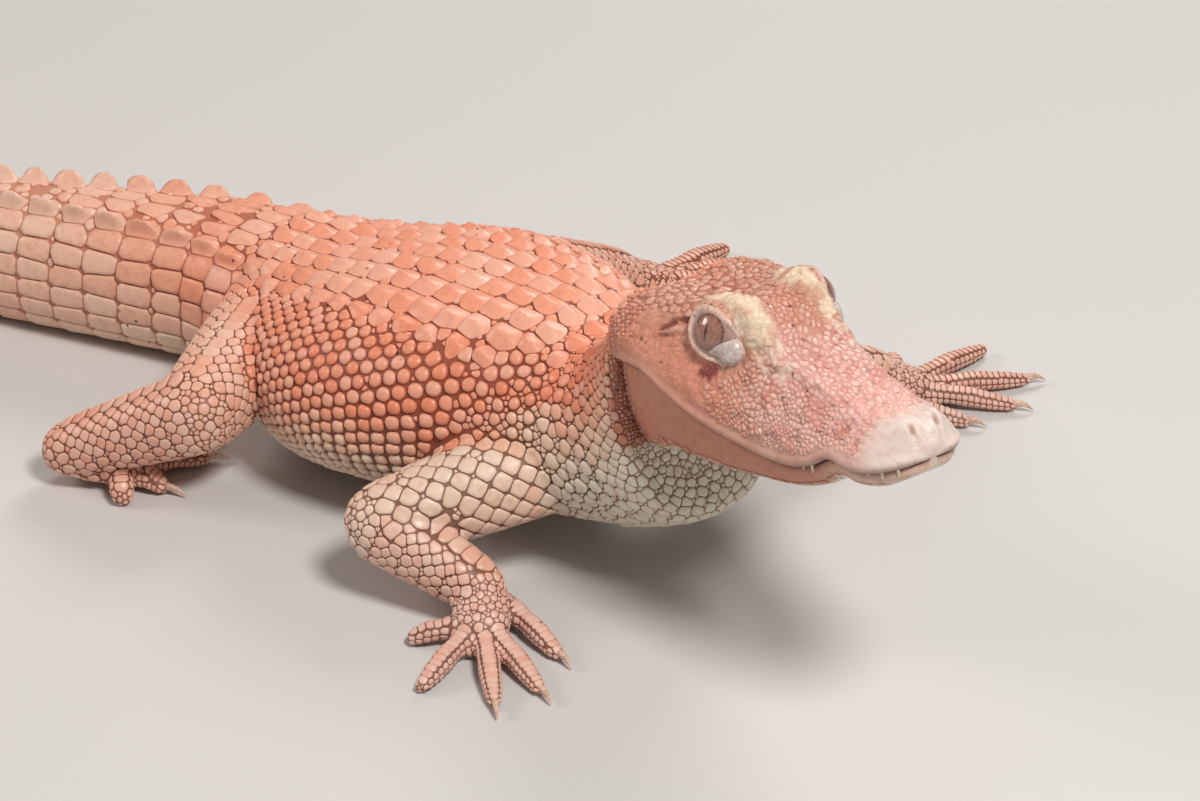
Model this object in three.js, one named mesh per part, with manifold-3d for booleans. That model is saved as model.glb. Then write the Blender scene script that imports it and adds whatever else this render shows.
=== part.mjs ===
// A young american alligator with pale skin, head raised, resting on its belly, hands, feet and tail.
// Millimetres. X runs forward along the trunk, Y to the animal's left, Z up from the floor.
import * as THREE from 'three';
import Module from 'manifold-3d';

const wasm = await Module();
wasm.setup();

// Driving dimensions
const HEAD_LENGTH = 180;
const NODE_GAP = 0.3;
const BODY_SIDES = 24;
const TAIL_SIDES = 16;
const LIMB_SIDES = 10;
const SEED = 46;

// Where the head sits: the middle of its back at mouth height, and how it turns in degrees
const HEAD_AT = [160, -4, 136];
const HEAD_YAW = -11.3;
const HEAD_NOSE_UP = 8;
const HEAD_ROLL = 2.6;

// Trunk and neck sections: place of the middle, lean and turn of the section, half width, height, depth
const TRUNK = [
  { x: 160, y: -4, z: 134, lean: 8, turn: -11.3, wide: 46, up: 34, down: 47 },
  { x: 150, y: -3, z: 112, lean: 26, turn: -7, wide: 47, up: 37, down: 62 },
  { x: 131, y: -1, z: 90, lean: 29, turn: -3, wide: 49, up: 37, down: 57 },
  { x: 104, y: 0, z: 74, lean: 15, turn: 0, wide: 53, up: 44, down: 50 },
  { x: 70, y: 0, z: 66, lean: 4, turn: 0, wide: 63, up: 52, down: 47 },
  { x: 32, y: 0, z: 62, lean: 0, turn: 0, wide: 80, up: 52, down: 51 },
  { x: -10, y: 0, z: 57, lean: 0, turn: 0, wide: 90, up: 51, down: 52 },
  { x: -50, y: 0, z: 52, lean: 0, turn: 0, wide: 87, up: 46.5, down: 52.6 },
  { x: -90, y: 0, z: 48, lean: 0, turn: 1, wide: 69, up: 39, down: 48.8 },
  { x: -133, y: -1, z: 40.5, lean: 0, turn: 13, wide: 47, up: 40.5, down: 41.3 },
];
const NECK_END = 2.4;
const TRUNK_MIDDLE = 6;

// The tail's way along the floor from the hips to the tip, and its size along it
const TAIL_PATH = [
  [-133, -1], [-166, -9], [-205, -27], [-253, -50], [-300, -71],
  [-380, -101], [-470, -122], [-570, -128], [-660, -114], [-728, -88],
];
const TAIL_SIZES = [
  { at: 0, wide: 47, top: 81 },
  { at: 0.06, wide: 41, top: 79 },
  { at: 0.16, wide: 35, top: 75 },
  { at: 0.3, wide: 29, top: 68 },
  { at: 0.45, wide: 23, top: 56 },
  { at: 0.6, wide: 17, top: 44 },
  { at: 0.75, wide: 11.5, top: 31 },
  { at: 0.88, wide: 6.5, top: 19 },
  { at: 1, wide: 2, top: 6 },
];
const TAIL_CUTS = [0, 0.2, 0.38, 0.56, 0.76, 1];

// Limb joints from root to wrist or ankle
const LIMBS = {
  right: {
    arm: [[96, -28, 57], [58, -108, 38], [108, -92, 19]],
    leg: [[-108, -24, 48], [-69, -112, 45], [-122, -150, 18]],
  },
  left: {
    arm: [[96, 30, 62], [99, 119, 43], [101, 182, 19]],
    leg: [[-108, 24, 42], [-50, 103, 45], [-62, 163, 18]],
  },
};
const ARM_GIRTH = [22, 17.5, 12.5];
const LEG_GIRTH = [27, 20, 13.5];

// Digit tips on the floor, thumb side first
const TIPS = {
  right: {
    arm: [[166, -90], [180, -116], [172, -141], [133, -152], [99, -129]],
    leg: [[-100, -76], [-82, -84], [-70, -121], [-84, -148]],
  },
  left: {
    arm: [[155, 205], [160, 234], [145, 261], [105, 262], [77, 221]],
    leg: [[-8, 214], [-16, 240], [-36, 252], [-62, 244]],
  },
};
const DIGITS = {
  arm: { thick: 5.2, palm: 24, web: 0.35, claws: 3, claw: 10, thumb: [0.02, 0.5] },
  leg: { thick: 6, palm: 30, web: 0.62, claws: 3, claw: 12, thumb: [0.2, 0.25] },
};

// Head sections in head lengths: along, mouth height, then half width and height of lip, cheek and crown edge
const HEAD = [
  { x: 0, mouth: 0.03, lip: 0.245, cheek: [0.25, 0.09], side: [0.222, 0.135], edge: [0.15, 0.168], mid: 0.168 },
  { x: 0.06, mouth: 0.04, lip: 0.258, cheek: [0.262, 0.1], side: [0.228, 0.14], edge: [0.152, 0.175], mid: 0.172 },
  { x: 0.15, mouth: 0.045, lip: 0.262, cheek: [0.262, 0.09], side: [0.218, 0.14], edge: [0.146, 0.185], mid: 0.178 },
  { x: 0.24, mouth: 0.005, lip: 0.252, cheek: [0.25, 0.06], side: [0.198, 0.125], edge: [0.134, 0.215], mid: 0.195 },
  { x: 0.32, mouth: -0.03, lip: 0.236, cheek: [0.232, 0.035], side: [0.18, 0.11], edge: [0.122, 0.243], mid: 0.215 },
  { x: 0.4, mouth: -0.055, lip: 0.216, cheek: [0.213, 0.015], side: [0.165, 0.095], edge: [0.106, 0.245], mid: 0.218 },
  { x: 0.47, mouth: -0.07, lip: 0.199, cheek: [0.197, 0], side: [0.155, 0.08], edge: [0.088, 0.19], mid: 0.178 },
  { x: 0.54, mouth: -0.08, lip: 0.184, cheek: [0.184, -0.01], side: [0.146, 0.065], edge: [0.083, 0.14], mid: 0.145 },
  { x: 0.62, mouth: -0.078, lip: 0.17, cheek: [0.171, -0.018], side: [0.137, 0.05], edge: [0.08, 0.115], mid: 0.125 },
  { x: 0.69, mouth: -0.058, lip: 0.158, cheek: [0.158, -0.01], side: [0.128, 0.045], edge: [0.074, 0.1], mid: 0.11 },
  { x: 0.75, mouth: -0.025, lip: 0.144, cheek: [0.145, 0.005], side: [0.12, 0.045], edge: [0.069, 0.09], mid: 0.1 },
  { x: 0.82, mouth: -0.028, lip: 0.142, cheek: [0.142, 0.005], side: [0.116, 0.045], edge: [0.066, 0.085], mid: 0.092 },
  { x: 0.88, mouth: -0.022, lip: 0.13, cheek: [0.13, 0.008], side: [0.106, 0.046], edge: [0.06, 0.09], mid: 0.09 },
  { x: 0.93, mouth: -0.01, lip: 0.104, cheek: [0.104, 0.012], side: [0.086, 0.046], edge: [0.05, 0.09], mid: 0.088 },
  { x: 0.96, mouth: 0, lip: 0.068, cheek: [0.068, 0.018], side: [0.056, 0.042], edge: [0.034, 0.066], mid: 0.07 },
  { x: 0.975, mouth: 0.006, lip: 0.032, cheek: [0.032, 0.02], side: [0.026, 0.03], edge: [0.016, 0.042], mid: 0.044 },
];
const JAW_INSET = 0.018;
const JAW_DEPTH = [
  [0, 0.28], [0.1, 0.27], [0.2, 0.225], [0.32, 0.165], [0.45, 0.115],
  [0.6, 0.078], [0.7, 0.066], [0.82, 0.056], [0.92, 0.042], [0.975, 0.025],
];
const EYE = { at: [0.322, 0.108, 0.163], radius: 0.07, long: 62, tall: 37, tilt: -24, lid: 0.011 };
const EYE_LOOKS = [0.3, 0.86, 0.27];
const NOSTRIL = { at: [0.945, 0.034, 0.092], long: 0.022, wide: 0.012, deep: 0.03 };

// Raised plates along the back and the fins of the tail
const ROW_PITCH = 24.5;
const PLATE = { high: 3.2, rim: 1.1, sunk: 2.4 };
const FIN = { high: 10, thick: 5, sunk: 5 };

const rad = THREE.MathUtils.degToRad;
const vec = (x, y, z) => new THREE.Vector3(x, y, z);

// Seeded random numbers between 0 and 1
function makeRandom(seed) {
  let state = seed;
  return () => {
    state = (state * 1664525 + 1013904223) % 4294967296;
    return state / 4294967296;
  };
}

// A smooth curve through values given at rising places
function smooth(places, values, at) {
  let i = 0;
  while (i < places.length - 2 && at > places[i + 1]) i += 1;
  const before = Math.max(i - 1, 0);
  const after = Math.min(i + 2, places.length - 1);
  const span = places[i + 1] - places[i];
  const slopeHere = (values[i + 1] - values[before]) / (places[i + 1] - places[before]);
  const slopeNext = (values[after] - values[i]) / (places[after] - places[i]);
  const u = (at - places[i]) / span;
  const u2 = u * u;
  const u3 = u2 * u;
  return (2 * u3 - 3 * u2 + 1) * values[i] + (u3 - 2 * u2 + u) * span * slopeHere
    + (3 * u2 - 2 * u3) * values[i + 1] + (u3 - u2) * span * slopeNext;
}

// Closed solids from rings of points, each ring going the same way round
function solidFromMesh(points, faces) {
  const vertProperties = new Float32Array(points.length * 3);
  points.forEach((p, i) => vertProperties.set([p.x, p.y, p.z], i * 3));
  const triVerts = new Uint32Array(faces.flat());
  return new wasm.Manifold(new wasm.Mesh({ numProp: 3, vertProperties, triVerts }));
}

function loft(rings) {
  const sides = rings[0].length;
  const points = rings.flat();
  const faces = [];
  for (let r = 0; r < rings.length - 1; r += 1) {
    for (let i = 0; i < sides; i += 1) {
      const j = (i + 1) % sides;
      const a = r * sides + i;
      const b = r * sides + j;
      faces.push([a, b, b + sides], [a, b + sides, a + sides]);
    }
  }
  const last = (rings.length - 1) * sides;
  const startMiddle = points.length;
  points.push(middle(rings[0]));
  points.push(middle(rings[rings.length - 1]));
  for (let i = 0; i < sides; i += 1) {
    const j = (i + 1) % sides;
    faces.push([startMiddle, j, i], [startMiddle + 1, last + i, last + j]);
  }
  const solid = solidFromMesh(points, faces);
  if (solid.volume() > 0) return solid;
  return solidFromMesh(points, faces.map(([a, b, c]) => [a, c, b]));
}

function middle(ring) {
  const sum = vec(0, 0, 0);
  ring.forEach((p) => sum.add(p));
  return sum.divideScalar(ring.length);
}

function largest(solid) {
  const pieces = solid.decompose();
  return pieces.reduce((best, piece) => (piece.volume() > best.volume() ? piece : best));
}

function join(solids) {
  return solids.reduce((whole, solid) => whole.add(solid));
}

// A large block whose one face passes through a point, on the side that the direction points to
function halfSpace(through, direction) {
  const out = direction.clone().normalize();
  const across = Math.abs(out.z) < 0.9 ? vec(0, 0, 1).cross(out) : vec(1, 0, 0).cross(out);
  across.normalize();
  const up = out.clone().cross(across);
  const far = 1500;
  const ring = (distance) => [[1, 1], [-1, 1], [-1, -1], [1, -1]].map(([a, b]) => through.clone()
    .addScaledVector(out, distance)
    .addScaledVector(across, a * far)
    .addScaledVector(up, b * far));
  return loft([ring(0), ring(far)]);
}

const aboveFloor = halfSpace(vec(0, 0, 0), vec(0, 0, 1));

// The tail starts square to the end of the trunk
const tailCurve = new THREE.CatmullRomCurve3(TAIL_PATH.map(([x, y]) => vec(x, y, 0)), false, 'centripetal');
const tailStart = tailCurve.getTangentAt(0).negate();
TRUNK.at(-1).turn = THREE.MathUtils.radToDeg(Math.atan2(tailStart.y, tailStart.x));

// Rings of the body
function ovalRing(centre, across, upward, wide, up, down, sides) {
  const ring = [];
  for (let i = 0; i < sides; i += 1) {
    const turn = (2 * Math.PI * i) / sides;
    const c = Math.cos(turn);
    const s = Math.sin(turn);
    const flat = 2 / 2.35;
    const y = wide * Math.sign(c) * Math.abs(c) ** flat;
    const z = (s > 0 ? up : down) * Math.sign(s) * Math.abs(s) ** flat;
    ring.push(centre.clone().addScaledVector(across, y).addScaledVector(upward, z));
  }
  return ring;
}

function trunkValue(key, at) {
  return smooth(TRUNK.map((_, i) => i), TRUNK.map((section) => section[key]), at);
}

function trunkRing(at, grow = 0, slide = 0, sides = BODY_SIDES) {
  const lean = rad(trunkValue('lean', at));
  const turn = rad(trunkValue('turn', at));
  const forward = vec(Math.cos(turn) * Math.cos(lean), Math.sin(turn) * Math.cos(lean), Math.sin(lean));
  const across = vec(-Math.sin(turn), Math.cos(turn), 0);
  const upward = forward.clone().cross(across);
  const centre = vec(trunkValue('x', at), trunkValue('y', at), trunkValue('z', at));
  centre.addScaledVector(forward, slide);
  return ovalRing(centre, across, upward, trunkValue('wide', at) + grow,
    trunkValue('up', at) + grow, trunkValue('down', at) + grow, sides);
}

function tailValue(key, at) {
  return smooth(TAIL_SIZES.map((size) => size.at), TAIL_SIZES.map((size) => size[key]), at);
}

function tailRing(at, grow = 0, slide = 0, sides = TAIL_SIDES) {
  const top = tailValue('top', at);
  const centre = tailCurve.getPointAt(Math.min(at, 1));
  const forward = tailCurve.getTangentAt(Math.min(at, 1)).negate();
  const across = vec(-forward.y, forward.x, 0).normalize();
  const height = top * 0.5;
  centre.z = height;
  centre.addScaledVector(forward, slide);
  return ovalRing(centre, across, vec(0, 0, 1), tailValue('wide', at) + grow,
    top - height + grow, height + 0.8 + grow, sides);
}

// Evenly spaced places between two ends
function places(from, to, count) {
  return Array.from({ length: count + 1 }, (_, i) => from + ((to - from) * i) / count);
}

function trunkLength(from, to, count, grow = 0, slideFrom = -NODE_GAP / 2, slideTo = NODE_GAP / 2) {
  const list = places(from, to, count);
  return loft(list.map((at, i) => {
    if (i === 0) return trunkRing(at, grow, slideFrom);
    return trunkRing(at, grow, i === count ? slideTo : 0);
  }));
}

function tailLength(from, to, count) {
  const list = places(from, to, count);
  return loft(list.map((at, i) => {
    if (i === 0) return tailRing(at, 0, -NODE_GAP / 2);
    return tailRing(at, 0, i === count && to < 1 ? NODE_GAP / 2 : 0);
  }));
}

// A round limb length, thick in the middle, with blunt rounded ends
function limbLength(from, to, startThick, endThick, swell = 1.06, flat = 1, sides = LIMB_SIDES) {
  const along = to.clone().sub(from);
  const long = along.length();
  along.normalize();
  const side = vec(-along.y, along.x, 0).normalize();
  const up = along.clone().cross(side);
  const stops = [
    [-0.85 * startThick, 0.45 * startThick], [-0.5 * startThick, 0.84 * startThick],
    [0, startThick], [0.3 * long, THREE.MathUtils.lerp(startThick, endThick, 0.3) * swell],
    [0.65 * long, THREE.MathUtils.lerp(startThick, endThick, 0.65) * swell],
    [long, endThick], [long + 0.5 * endThick, 0.84 * endThick], [long + 0.85 * endThick, 0.45 * endThick],
  ];
  return loft(stops.map(([distance, thick]) => {
    const centre = from.clone().addScaledVector(along, distance);
    return ovalRing(centre, side, up, thick, thick * flat, thick * flat, sides);
  }));
}

// One digit: knuckle, bend and tip, with a curved claw where the real one has it
function digit(knuckle, tip, thick, hasClaw, clawLong) {
  const along = tip.clone().sub(knuckle).setZ(0).normalize();
  const fleshEnd = hasClaw ? tip.clone().addScaledVector(along, -clawLong * 0.8) : tip.clone();
  const side = vec(-along.y, along.x, 0);
  const start = -9 / knuckle.distanceTo(fleshEnd);
  const stops = [
    [start, 9, 0.9], [0, 8.6, 1.08], [0.24, 8, 0.9], [0.44, 7.6, 1], [0.8, 5, 0.8], [1, 3.8, 0.45],
  ];
  const rings = stops.map(([share, high, size]) => {
    const centre = knuckle.clone().lerp(fleshEnd, share).setZ(high * (thick / 6));
    return ovalRing(centre, side, vec(0, 0, 1), thick * size, thick * size * 0.86, thick * size * 0.86, 6);
  });
  const solids = [loft(rings)];
  if (hasClaw) solids.push(claw(fleshEnd, along, clawLong));
  return join(solids);
}

function claw(root, along, long) {
  const side = vec(-along.y, along.x, 0);
  const stops = [[-0.45, 3.8, 2.1], [0.15, 5, 1.9], [0.6, 4.2, 1.2], [1, 1.8, 0.35]];
  return loft(stops.map(([share, high, thick]) => {
    const centre = root.clone().addScaledVector(along, share * long * 0.85).setZ(high);
    return ovalRing(centre, side, vec(0, 0, 1), thick * 0.75, thick, thick, 5);
  }));
}

// A thin web between two neighbouring digits
function web(start, one, two, share) {
  const a = start.clone().lerp(one, share);
  const b = start.clone().lerp(two, share);
  const ring = (high) => {
    const lift = high > 4 ? 1 : 0;
    return [start.clone().setZ(high + 2 * lift), a.clone().setZ(high), a.clone().lerp(b, 0.5)
      .lerp(start, 0.25).setZ(high), b.clone().setZ(high)];
  };
  return loft([ring(2.6), ring(4.8)]);
}

// A whole limb as one solid, cut into its three lengths at the middle joint and the wrist or ankle
function limb(side, kind) {
  const joints = LIMBS[side][kind].map(([x, y, z]) => vec(x, y, z));
  const girth = kind === 'arm' ? ARM_GIRTH : LEG_GIRTH;
  const look = DIGITS[kind];
  const tips = TIPS[side][kind].map(([x, y]) => vec(x, y, 4));
  const end = joints[2];
  const reach = middle(tips).sub(end).setZ(0).normalize();
  const palmEnd = end.clone().addScaledVector(reach, look.palm * 0.7).setZ(9.5);
  const lengths = (grow) => join([
    limbLength(joints[0], joints[1], girth[0] + grow, girth[1] + grow),
    limbLength(joints[1], end, girth[1] * 0.96 + grow, girth[2] + grow, 1.04),
    limbLength(end, palmEnd, girth[2] + grow, 13 + grow, 1.05, 0.72),
  ]);
  const whole = lengths(0);
  const bend = middleTurn(joints[0], joints[1], end);
  const wrist = middleTurn(joints[1], end, palmEnd);
  const half = NODE_GAP / 2;
  const first = keepBeyond(whole, joints[1], bend, -half);
  const second = keepBeyond(keepBeyond(whole, joints[1], bend, half), end, wrist, -half);
  const pieces = [keepBeyond(limbLength(end, palmEnd, girth[2], 13, 1.05, 0.72), end, wrist, half)];
  const thumbSide = vec(-reach.y, reach.x, 0);
  if (thumbSide.dot(tips[0].clone().sub(end)) < 0) thumbSide.negate();
  tips.forEach((tip, i) => {
    const out = tip.clone().sub(end).setZ(0).normalize();
    const knuckle = end.clone().addScaledVector(reach, look.palm * (i === 0 ? look.thumb[0] : 0.35))
      .addScaledVector(thumbSide, i === 0 ? look.palm * look.thumb[1] : 0)
      .addScaledVector(out, look.palm * (i === 0 ? 0.25 : 0.72));
    pieces.push(digit(knuckle, tip, look.thick, i < look.claws, look.claw));
  });
  const palmMiddle = end.clone().addScaledVector(reach, look.palm * 0.55);
  for (let i = 0; i < tips.length - 1; i += 1) {
    pieces.push(web(palmMiddle, tips[i], tips[i + 1], look.web + 0.12));
  }
  const behindWrist = halfSpace(end.clone().addScaledVector(wrist, half), wrist.clone().negate());
  const hand = join(pieces).intersect(aboveFloor).subtract(lengths(NODE_GAP).intersect(behindWrist));
  return [first.subtract(bodyBlock), second.subtract(bodyBlock), hand.subtract(bodyBlock)].map(largest);
}

// What lies past a plane: beyond it where the offset is above zero, and short of it where below
function keepBeyond(solid, through, direction, offset) {
  const out = offset > 0 ? direction : direction.clone().negate();
  return solid.intersect(halfSpace(through.clone().addScaledVector(direction, offset), out));
}

function middleTurn(a, b, c) {
  const one = b.clone().sub(a).normalize();
  const two = c.clone().sub(b).normalize();
  return one.add(two).normalize();
}

// Head
const headTurn = new THREE.Euler(rad(HEAD_ROLL), -rad(HEAD_NOSE_UP), rad(HEAD_YAW), 'ZYX');
const headFrame = new THREE.Matrix4().makeRotationFromEuler(headTurn).setPosition(...HEAD_AT);

function inHead(x, y, z) {
  return vec(x * HEAD_LENGTH, y * HEAD_LENGTH, z * HEAD_LENGTH).applyMatrix4(headFrame);
}

function headValue(pick, at) {
  return smooth(HEAD.map((section) => section.x), HEAD.map(pick), at);
}

// Points of a smooth open line through a few corners
function smoothLine(corners, count) {
  const curve = new THREE.CatmullRomCurve3(corners.map(([y, z]) => vec(y, z, 0)), false, 'centripetal');
  return curve.getPoints(count).map((p) => [p.x, p.y]);
}

function headRing(at, lift) {
  const mouth = headValue((s) => s.mouth, at) + lift;
  const lip = headValue((s) => s.lip, at);
  const flank = smoothLine([
    [lip * 0.985, mouth],
    [lip, mouth + 0.012],
    [headValue((s) => s.cheek[0], at), headValue((s) => s.cheek[1], at)],
    [headValue((s) => s.side[0], at), headValue((s) => s.side[1], at)],
    [headValue((s) => s.edge[0], at), headValue((s) => s.edge[1], at)],
    [headValue((s) => s.edge[0], at) * 0.45, headValue((s) => s.mid, at) * 0.6
      + headValue((s) => s.edge[1], at) * 0.4],
  ], 8);
  const right = flank.map(([y, z]) => inHead(at, -y, z));
  const left = flank.map(([y, z]) => inHead(at, y, z)).reverse();
  return [inHead(at, 0, mouth), inHead(at, -lip * 0.6, mouth), ...right,
    inHead(at, 0, headValue((s) => s.mid, at)), ...left, inHead(at, lip * 0.6, mouth)];
}

function jawRing(at, lift) {
  const mouth = headValue((s) => s.mouth, at) + lift;
  const wide = Math.max(headValue((s) => s.lip, at) - JAW_INSET, 0.012);
  const deep = smooth(JAW_DEPTH.map(([x]) => x), JAW_DEPTH.map(([, d]) => d), at);
  const flank = smoothLine([
    [wide * 0.97, mouth],
    [wide, mouth - 0.12 * deep],
    [wide * 0.97, mouth - 0.5 * deep],
    [wide * 0.8, mouth - 0.88 * deep],
    [wide * 0.42, mouth - deep * 0.98],
  ], 5);
  const right = flank.map(([y, z]) => inHead(at, -y, z));
  const left = flank.map(([y, z]) => inHead(at, y, z)).reverse();
  return [inHead(at, 0, mouth), inHead(at, -wide * 0.6, mouth), ...right,
    inHead(at, 0, mouth - deep * 0.96), ...left, inHead(at, wide * 0.6, mouth)];
}

const HEAD_STOPS = [
  0.00083, 0.05, 0.11, 0.17, 0.22, 0.27, 0.32, 0.37, 0.42, 0.46, 0.5, 0.55,
  0.61, 0.66, 0.705, 0.745, 0.785, 0.83, 0.875, 0.915, 0.942, 0.963, 0.975,
];

// The eyeball, and the same ball a gap larger
function eyeBall(sign, grow) {
  const centre = inHead(EYE.at[0], sign * EYE.at[1], EYE.at[2]);
  const radius = EYE.radius * HEAD_LENGTH + grow;
  const rings = [];
  for (let i = 1; i < 8; i += 1) {
    const down = (Math.PI * i) / 8;
    const ring = [];
    for (let j = 0; j < 12; j += 1) {
      const turn = (2 * Math.PI * j) / 12;
      const point = vec(Math.sin(down) * Math.cos(turn), sign * Math.cos(down), Math.sin(down) * Math.sin(turn));
      point.multiplyScalar(radius).transformDirection(headFrame).multiplyScalar(radius).add(centre);
      ring.push(point);
    }
    rings.push(ring);
  }
  return loft(rings);
}

// Points round the opening between the lids, at some distance from the middle of the eyeball
function lidLine(sign, distance, steps) {
  const centre = vec(EYE.at[0], sign * EYE.at[1], EYE.at[2]);
  const looks = vec(EYE_LOOKS[0], sign * EYE_LOOKS[1], EYE_LOOKS[2]).normalize();
  const tilt = rad(EYE.tilt);
  const length = vec(Math.cos(tilt), 0, Math.sin(tilt));
  length.addScaledVector(looks, -length.dot(looks)).normalize();
  const height = looks.clone().cross(length);
  if (height.z < 0) height.negate();
  const line = [];
  for (let i = 0; i < steps; i += 1) {
    const turn = (2 * Math.PI * i) / steps;
    const out = looks.clone()
      .addScaledVector(length, Math.tan(rad(EYE.long)) * Math.cos(turn))
      .addScaledVector(height, Math.tan(rad(EYE.tall)) * Math.sin(turn)).normalize();
    const away = length.clone().multiplyScalar(Math.cos(turn) * 0.6)
      .addScaledVector(height, Math.sin(turn)).normalize();
    line.push({ point: centre.clone().addScaledVector(out, distance), out, away });
  }
  return line;
}

// The rim of the lids: a soft tube round the opening, lying on the eyeball
function lidRim(sign) {
  return closedTube(lidLine(sign, EYE.radius + 0.003, 18).map(({ point, out, away }) => {
    const ring = [];
    for (let j = 0; j < 5; j += 1) {
      const around = (2 * Math.PI * j) / 5;
      const spot = point.clone()
        .addScaledVector(out, EYE.lid * Math.cos(around))
        .addScaledVector(away, EYE.lid * (0.7 + Math.sin(around)));
      ring.push(inHead(spot.x, spot.y, spot.z));
    }
    return ring;
  }));
}

// The space in front of the eye that the lids leave open
function lidOpening(sign) {
  return loft([EYE.radius * 0.8, EYE.radius * 1.9].map((distance) => lidLine(sign, distance, 18)
    .map(({ point }) => inHead(point.x, point.y, point.z))));
}

function closedTube(rings) {
  const sides = rings[0].length;
  const points = rings.flat();
  const faces = [];
  rings.forEach((_, r) => {
    const next = ((r + 1) % rings.length) * sides;
    for (let i = 0; i < sides; i += 1) {
      const j = (i + 1) % sides;
      const a = r * sides;
      faces.push([a + i, a + j, next + j], [a + i, next + j, next + i]);
    }
  });
  const solid = solidFromMesh(points, faces);
  if (solid.volume() > 0) return solid;
  return solidFromMesh(points, faces.map(([a, b, c]) => [a, c, b]));
}

function nostrilPit(sign) {
  const [x, y, z] = NOSTRIL.at;
  const rings = [-NOSTRIL.deep, NOSTRIL.deep].map((high) => {
    const ring = [];
    for (let i = 0; i < 8; i += 1) {
      const turn = (2 * Math.PI * i) / 8;
      const size = high > 0 ? 1 : 0.5;
      ring.push(inHead(x + NOSTRIL.long * size * Math.cos(turn),
        sign * y + NOSTRIL.wide * size * Math.sin(turn), z + high));
    }
    return ring;
  });
  return loft(rings);
}

function nostrilMound(sign) {
  const [x, y, z] = NOSTRIL.at;
  const rings = [[-0.05, 1.15], [-0.012, 1.05], [0.005, 0.6]].map(([high, size]) => {
    const ring = [];
    for (let i = 0; i < 10; i += 1) {
      const turn = (2 * Math.PI * i) / 10;
      ring.push(inHead(x + 0.042 * size * Math.cos(turn), sign * y + 0.03 * size * Math.sin(turn), z + high));
    }
    return ring;
  });
  return loft(rings);
}

// A long low bump on the head, from stops of along, across, height and thickness
function headRidge(sign, stops, flat, sides) {
  return loft(stops.map(([x, y, z, thick]) => {
    const ring = [];
    for (let i = 0; i < sides; i += 1) {
      const turn = (2 * Math.PI * i) / sides;
      ring.push(inHead(x, sign * y + thick * Math.cos(turn), z + thick * flat * Math.sin(turn)));
    }
    return ring;
  }));
}

function browBump(sign) {
  return headRidge(sign, [
    [0.235, 0.112, 0.212, 0.012], [0.28, 0.11, 0.228, 0.028], [0.33, 0.108, 0.235, 0.034],
    [0.38, 0.106, 0.226, 0.036], [0.42, 0.108, 0.198, 0.03], [0.455, 0.11, 0.165, 0.014],
  ], 0.75, 8);
}

function earFlap(sign) {
  return headRidge(sign, [
    [0.1, 0.185, 0.158, 0.006], [0.13, 0.182, 0.164, 0.012], [0.2, 0.166, 0.18, 0.013], [0.25, 0.152, 0.19, 0.006],
  ], 0.6, 6);
}

function tooth(at, sign) {
  const lip = headValue((s) => s.lip, at);
  const mouth = headValue((s) => s.mouth, at);
  const rings = [[0.02, 0.008], [-0.008, 0.0065], [-0.024, 0.0015]].map(([high, thick]) => {
    const ring = [];
    for (let i = 0; i < 5; i += 1) {
      const turn = (2 * Math.PI * i) / 5;
      ring.push(inHead(at + thick * Math.cos(turn), sign * (lip - 0.0085 + thick * 0.6 * Math.sin(turn)),
        mouth + high));
    }
    return ring;
  });
  return loft(rings);
}

function makeHead() {
  const lift = NODE_GAP * 0.6 / HEAD_LENGTH;
  const core = loft(HEAD_STOPS.map((at) => headRing(at, lift)));
  const parts = [core];
  for (const sign of [-1, 1]) {
    parts.push(browBump(sign), earFlap(sign), nostrilMound(sign));
    for (const at of [0.915, 0.69]) parts.push(tooth(at, sign));
  }
  let head = join(parts);
  for (const sign of [-1, 1]) {
    head = head.subtract(lidOpening(sign)).add(lidRim(sign));
    head = head.subtract(eyeBall(sign, NODE_GAP)).subtract(nostrilPit(sign));
  }
  return largest(head);
}

function makeJaw() {
  const lift = -NODE_GAP * 0.6 / HEAD_LENGTH;
  const stops = HEAD_STOPS.filter((at) => at < 0.985);
  return largest(loft(stops.map((at) => jawRing(at, lift))));
}

// Places on the back by distance from the head joint and distance round from the middle line
function bodyRing(at, sides) {
  return at <= 9 ? trunkRing(at, 0, 0, sides) : tailRing(Math.min(at - 9, 1), 0, 0, sides);
}

const BACK_STEPS = 240;
const backLine = places(0, 10, BACK_STEPS).map((at) => ({ at, top: bodyRing(at, 4)[1] }));
backLine.forEach((stop, i) => {
  stop.run = i === 0 ? 0 : backLine[i - 1].run + stop.top.distanceTo(backLine[i - 1].top);
});
const backRuns = backLine.map((stop) => stop.run);
const backPlaces = backLine.map((stop) => stop.at);

function placeAt(run) {
  let i = 0;
  while (i < backRuns.length - 2 && run > backRuns[i + 1]) i += 1;
  const share = (run - backRuns[i]) / (backRuns[i + 1] - backRuns[i]);
  return backPlaces[i] + share * (backPlaces[i + 1] - backPlaces[i]);
}

function runAt(place) {
  let i = 0;
  while (i < backPlaces.length - 2 && place > backPlaces[i + 1]) i += 1;
  const share = (place - backPlaces[i]) / (backPlaces[i + 1] - backPlaces[i]);
  return backRuns[i] + share * (backRuns[i + 1] - backRuns[i]);
}

const ROUND_SIDES = 96;

function onRing(ring, round) {
  const quarter = ROUND_SIDES / 4;
  const step = round >= 0 ? -1 : 1;
  let left = Math.abs(round);
  let i = quarter;
  for (;;) {
    const next = (i + step + ROUND_SIDES) % ROUND_SIDES;
    const long = ring[i].distanceTo(ring[next]);
    if (left <= long) return ring[i].clone().lerp(ring[next], left / long);
    left -= long;
    i = next;
  }
}

function onBack(run, round) {
  const here = bodyRing(placeAt(run), ROUND_SIDES);
  const ahead = bodyRing(placeAt(run + 1), ROUND_SIDES);
  const point = onRing(here, round);
  const along = onRing(ahead, round).sub(point);
  const across = onRing(here, round + 1).sub(point);
  const normal = across.cross(along).normalize();
  if (normal.z < 0) normal.negate();
  return { point, normal };
}

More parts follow.
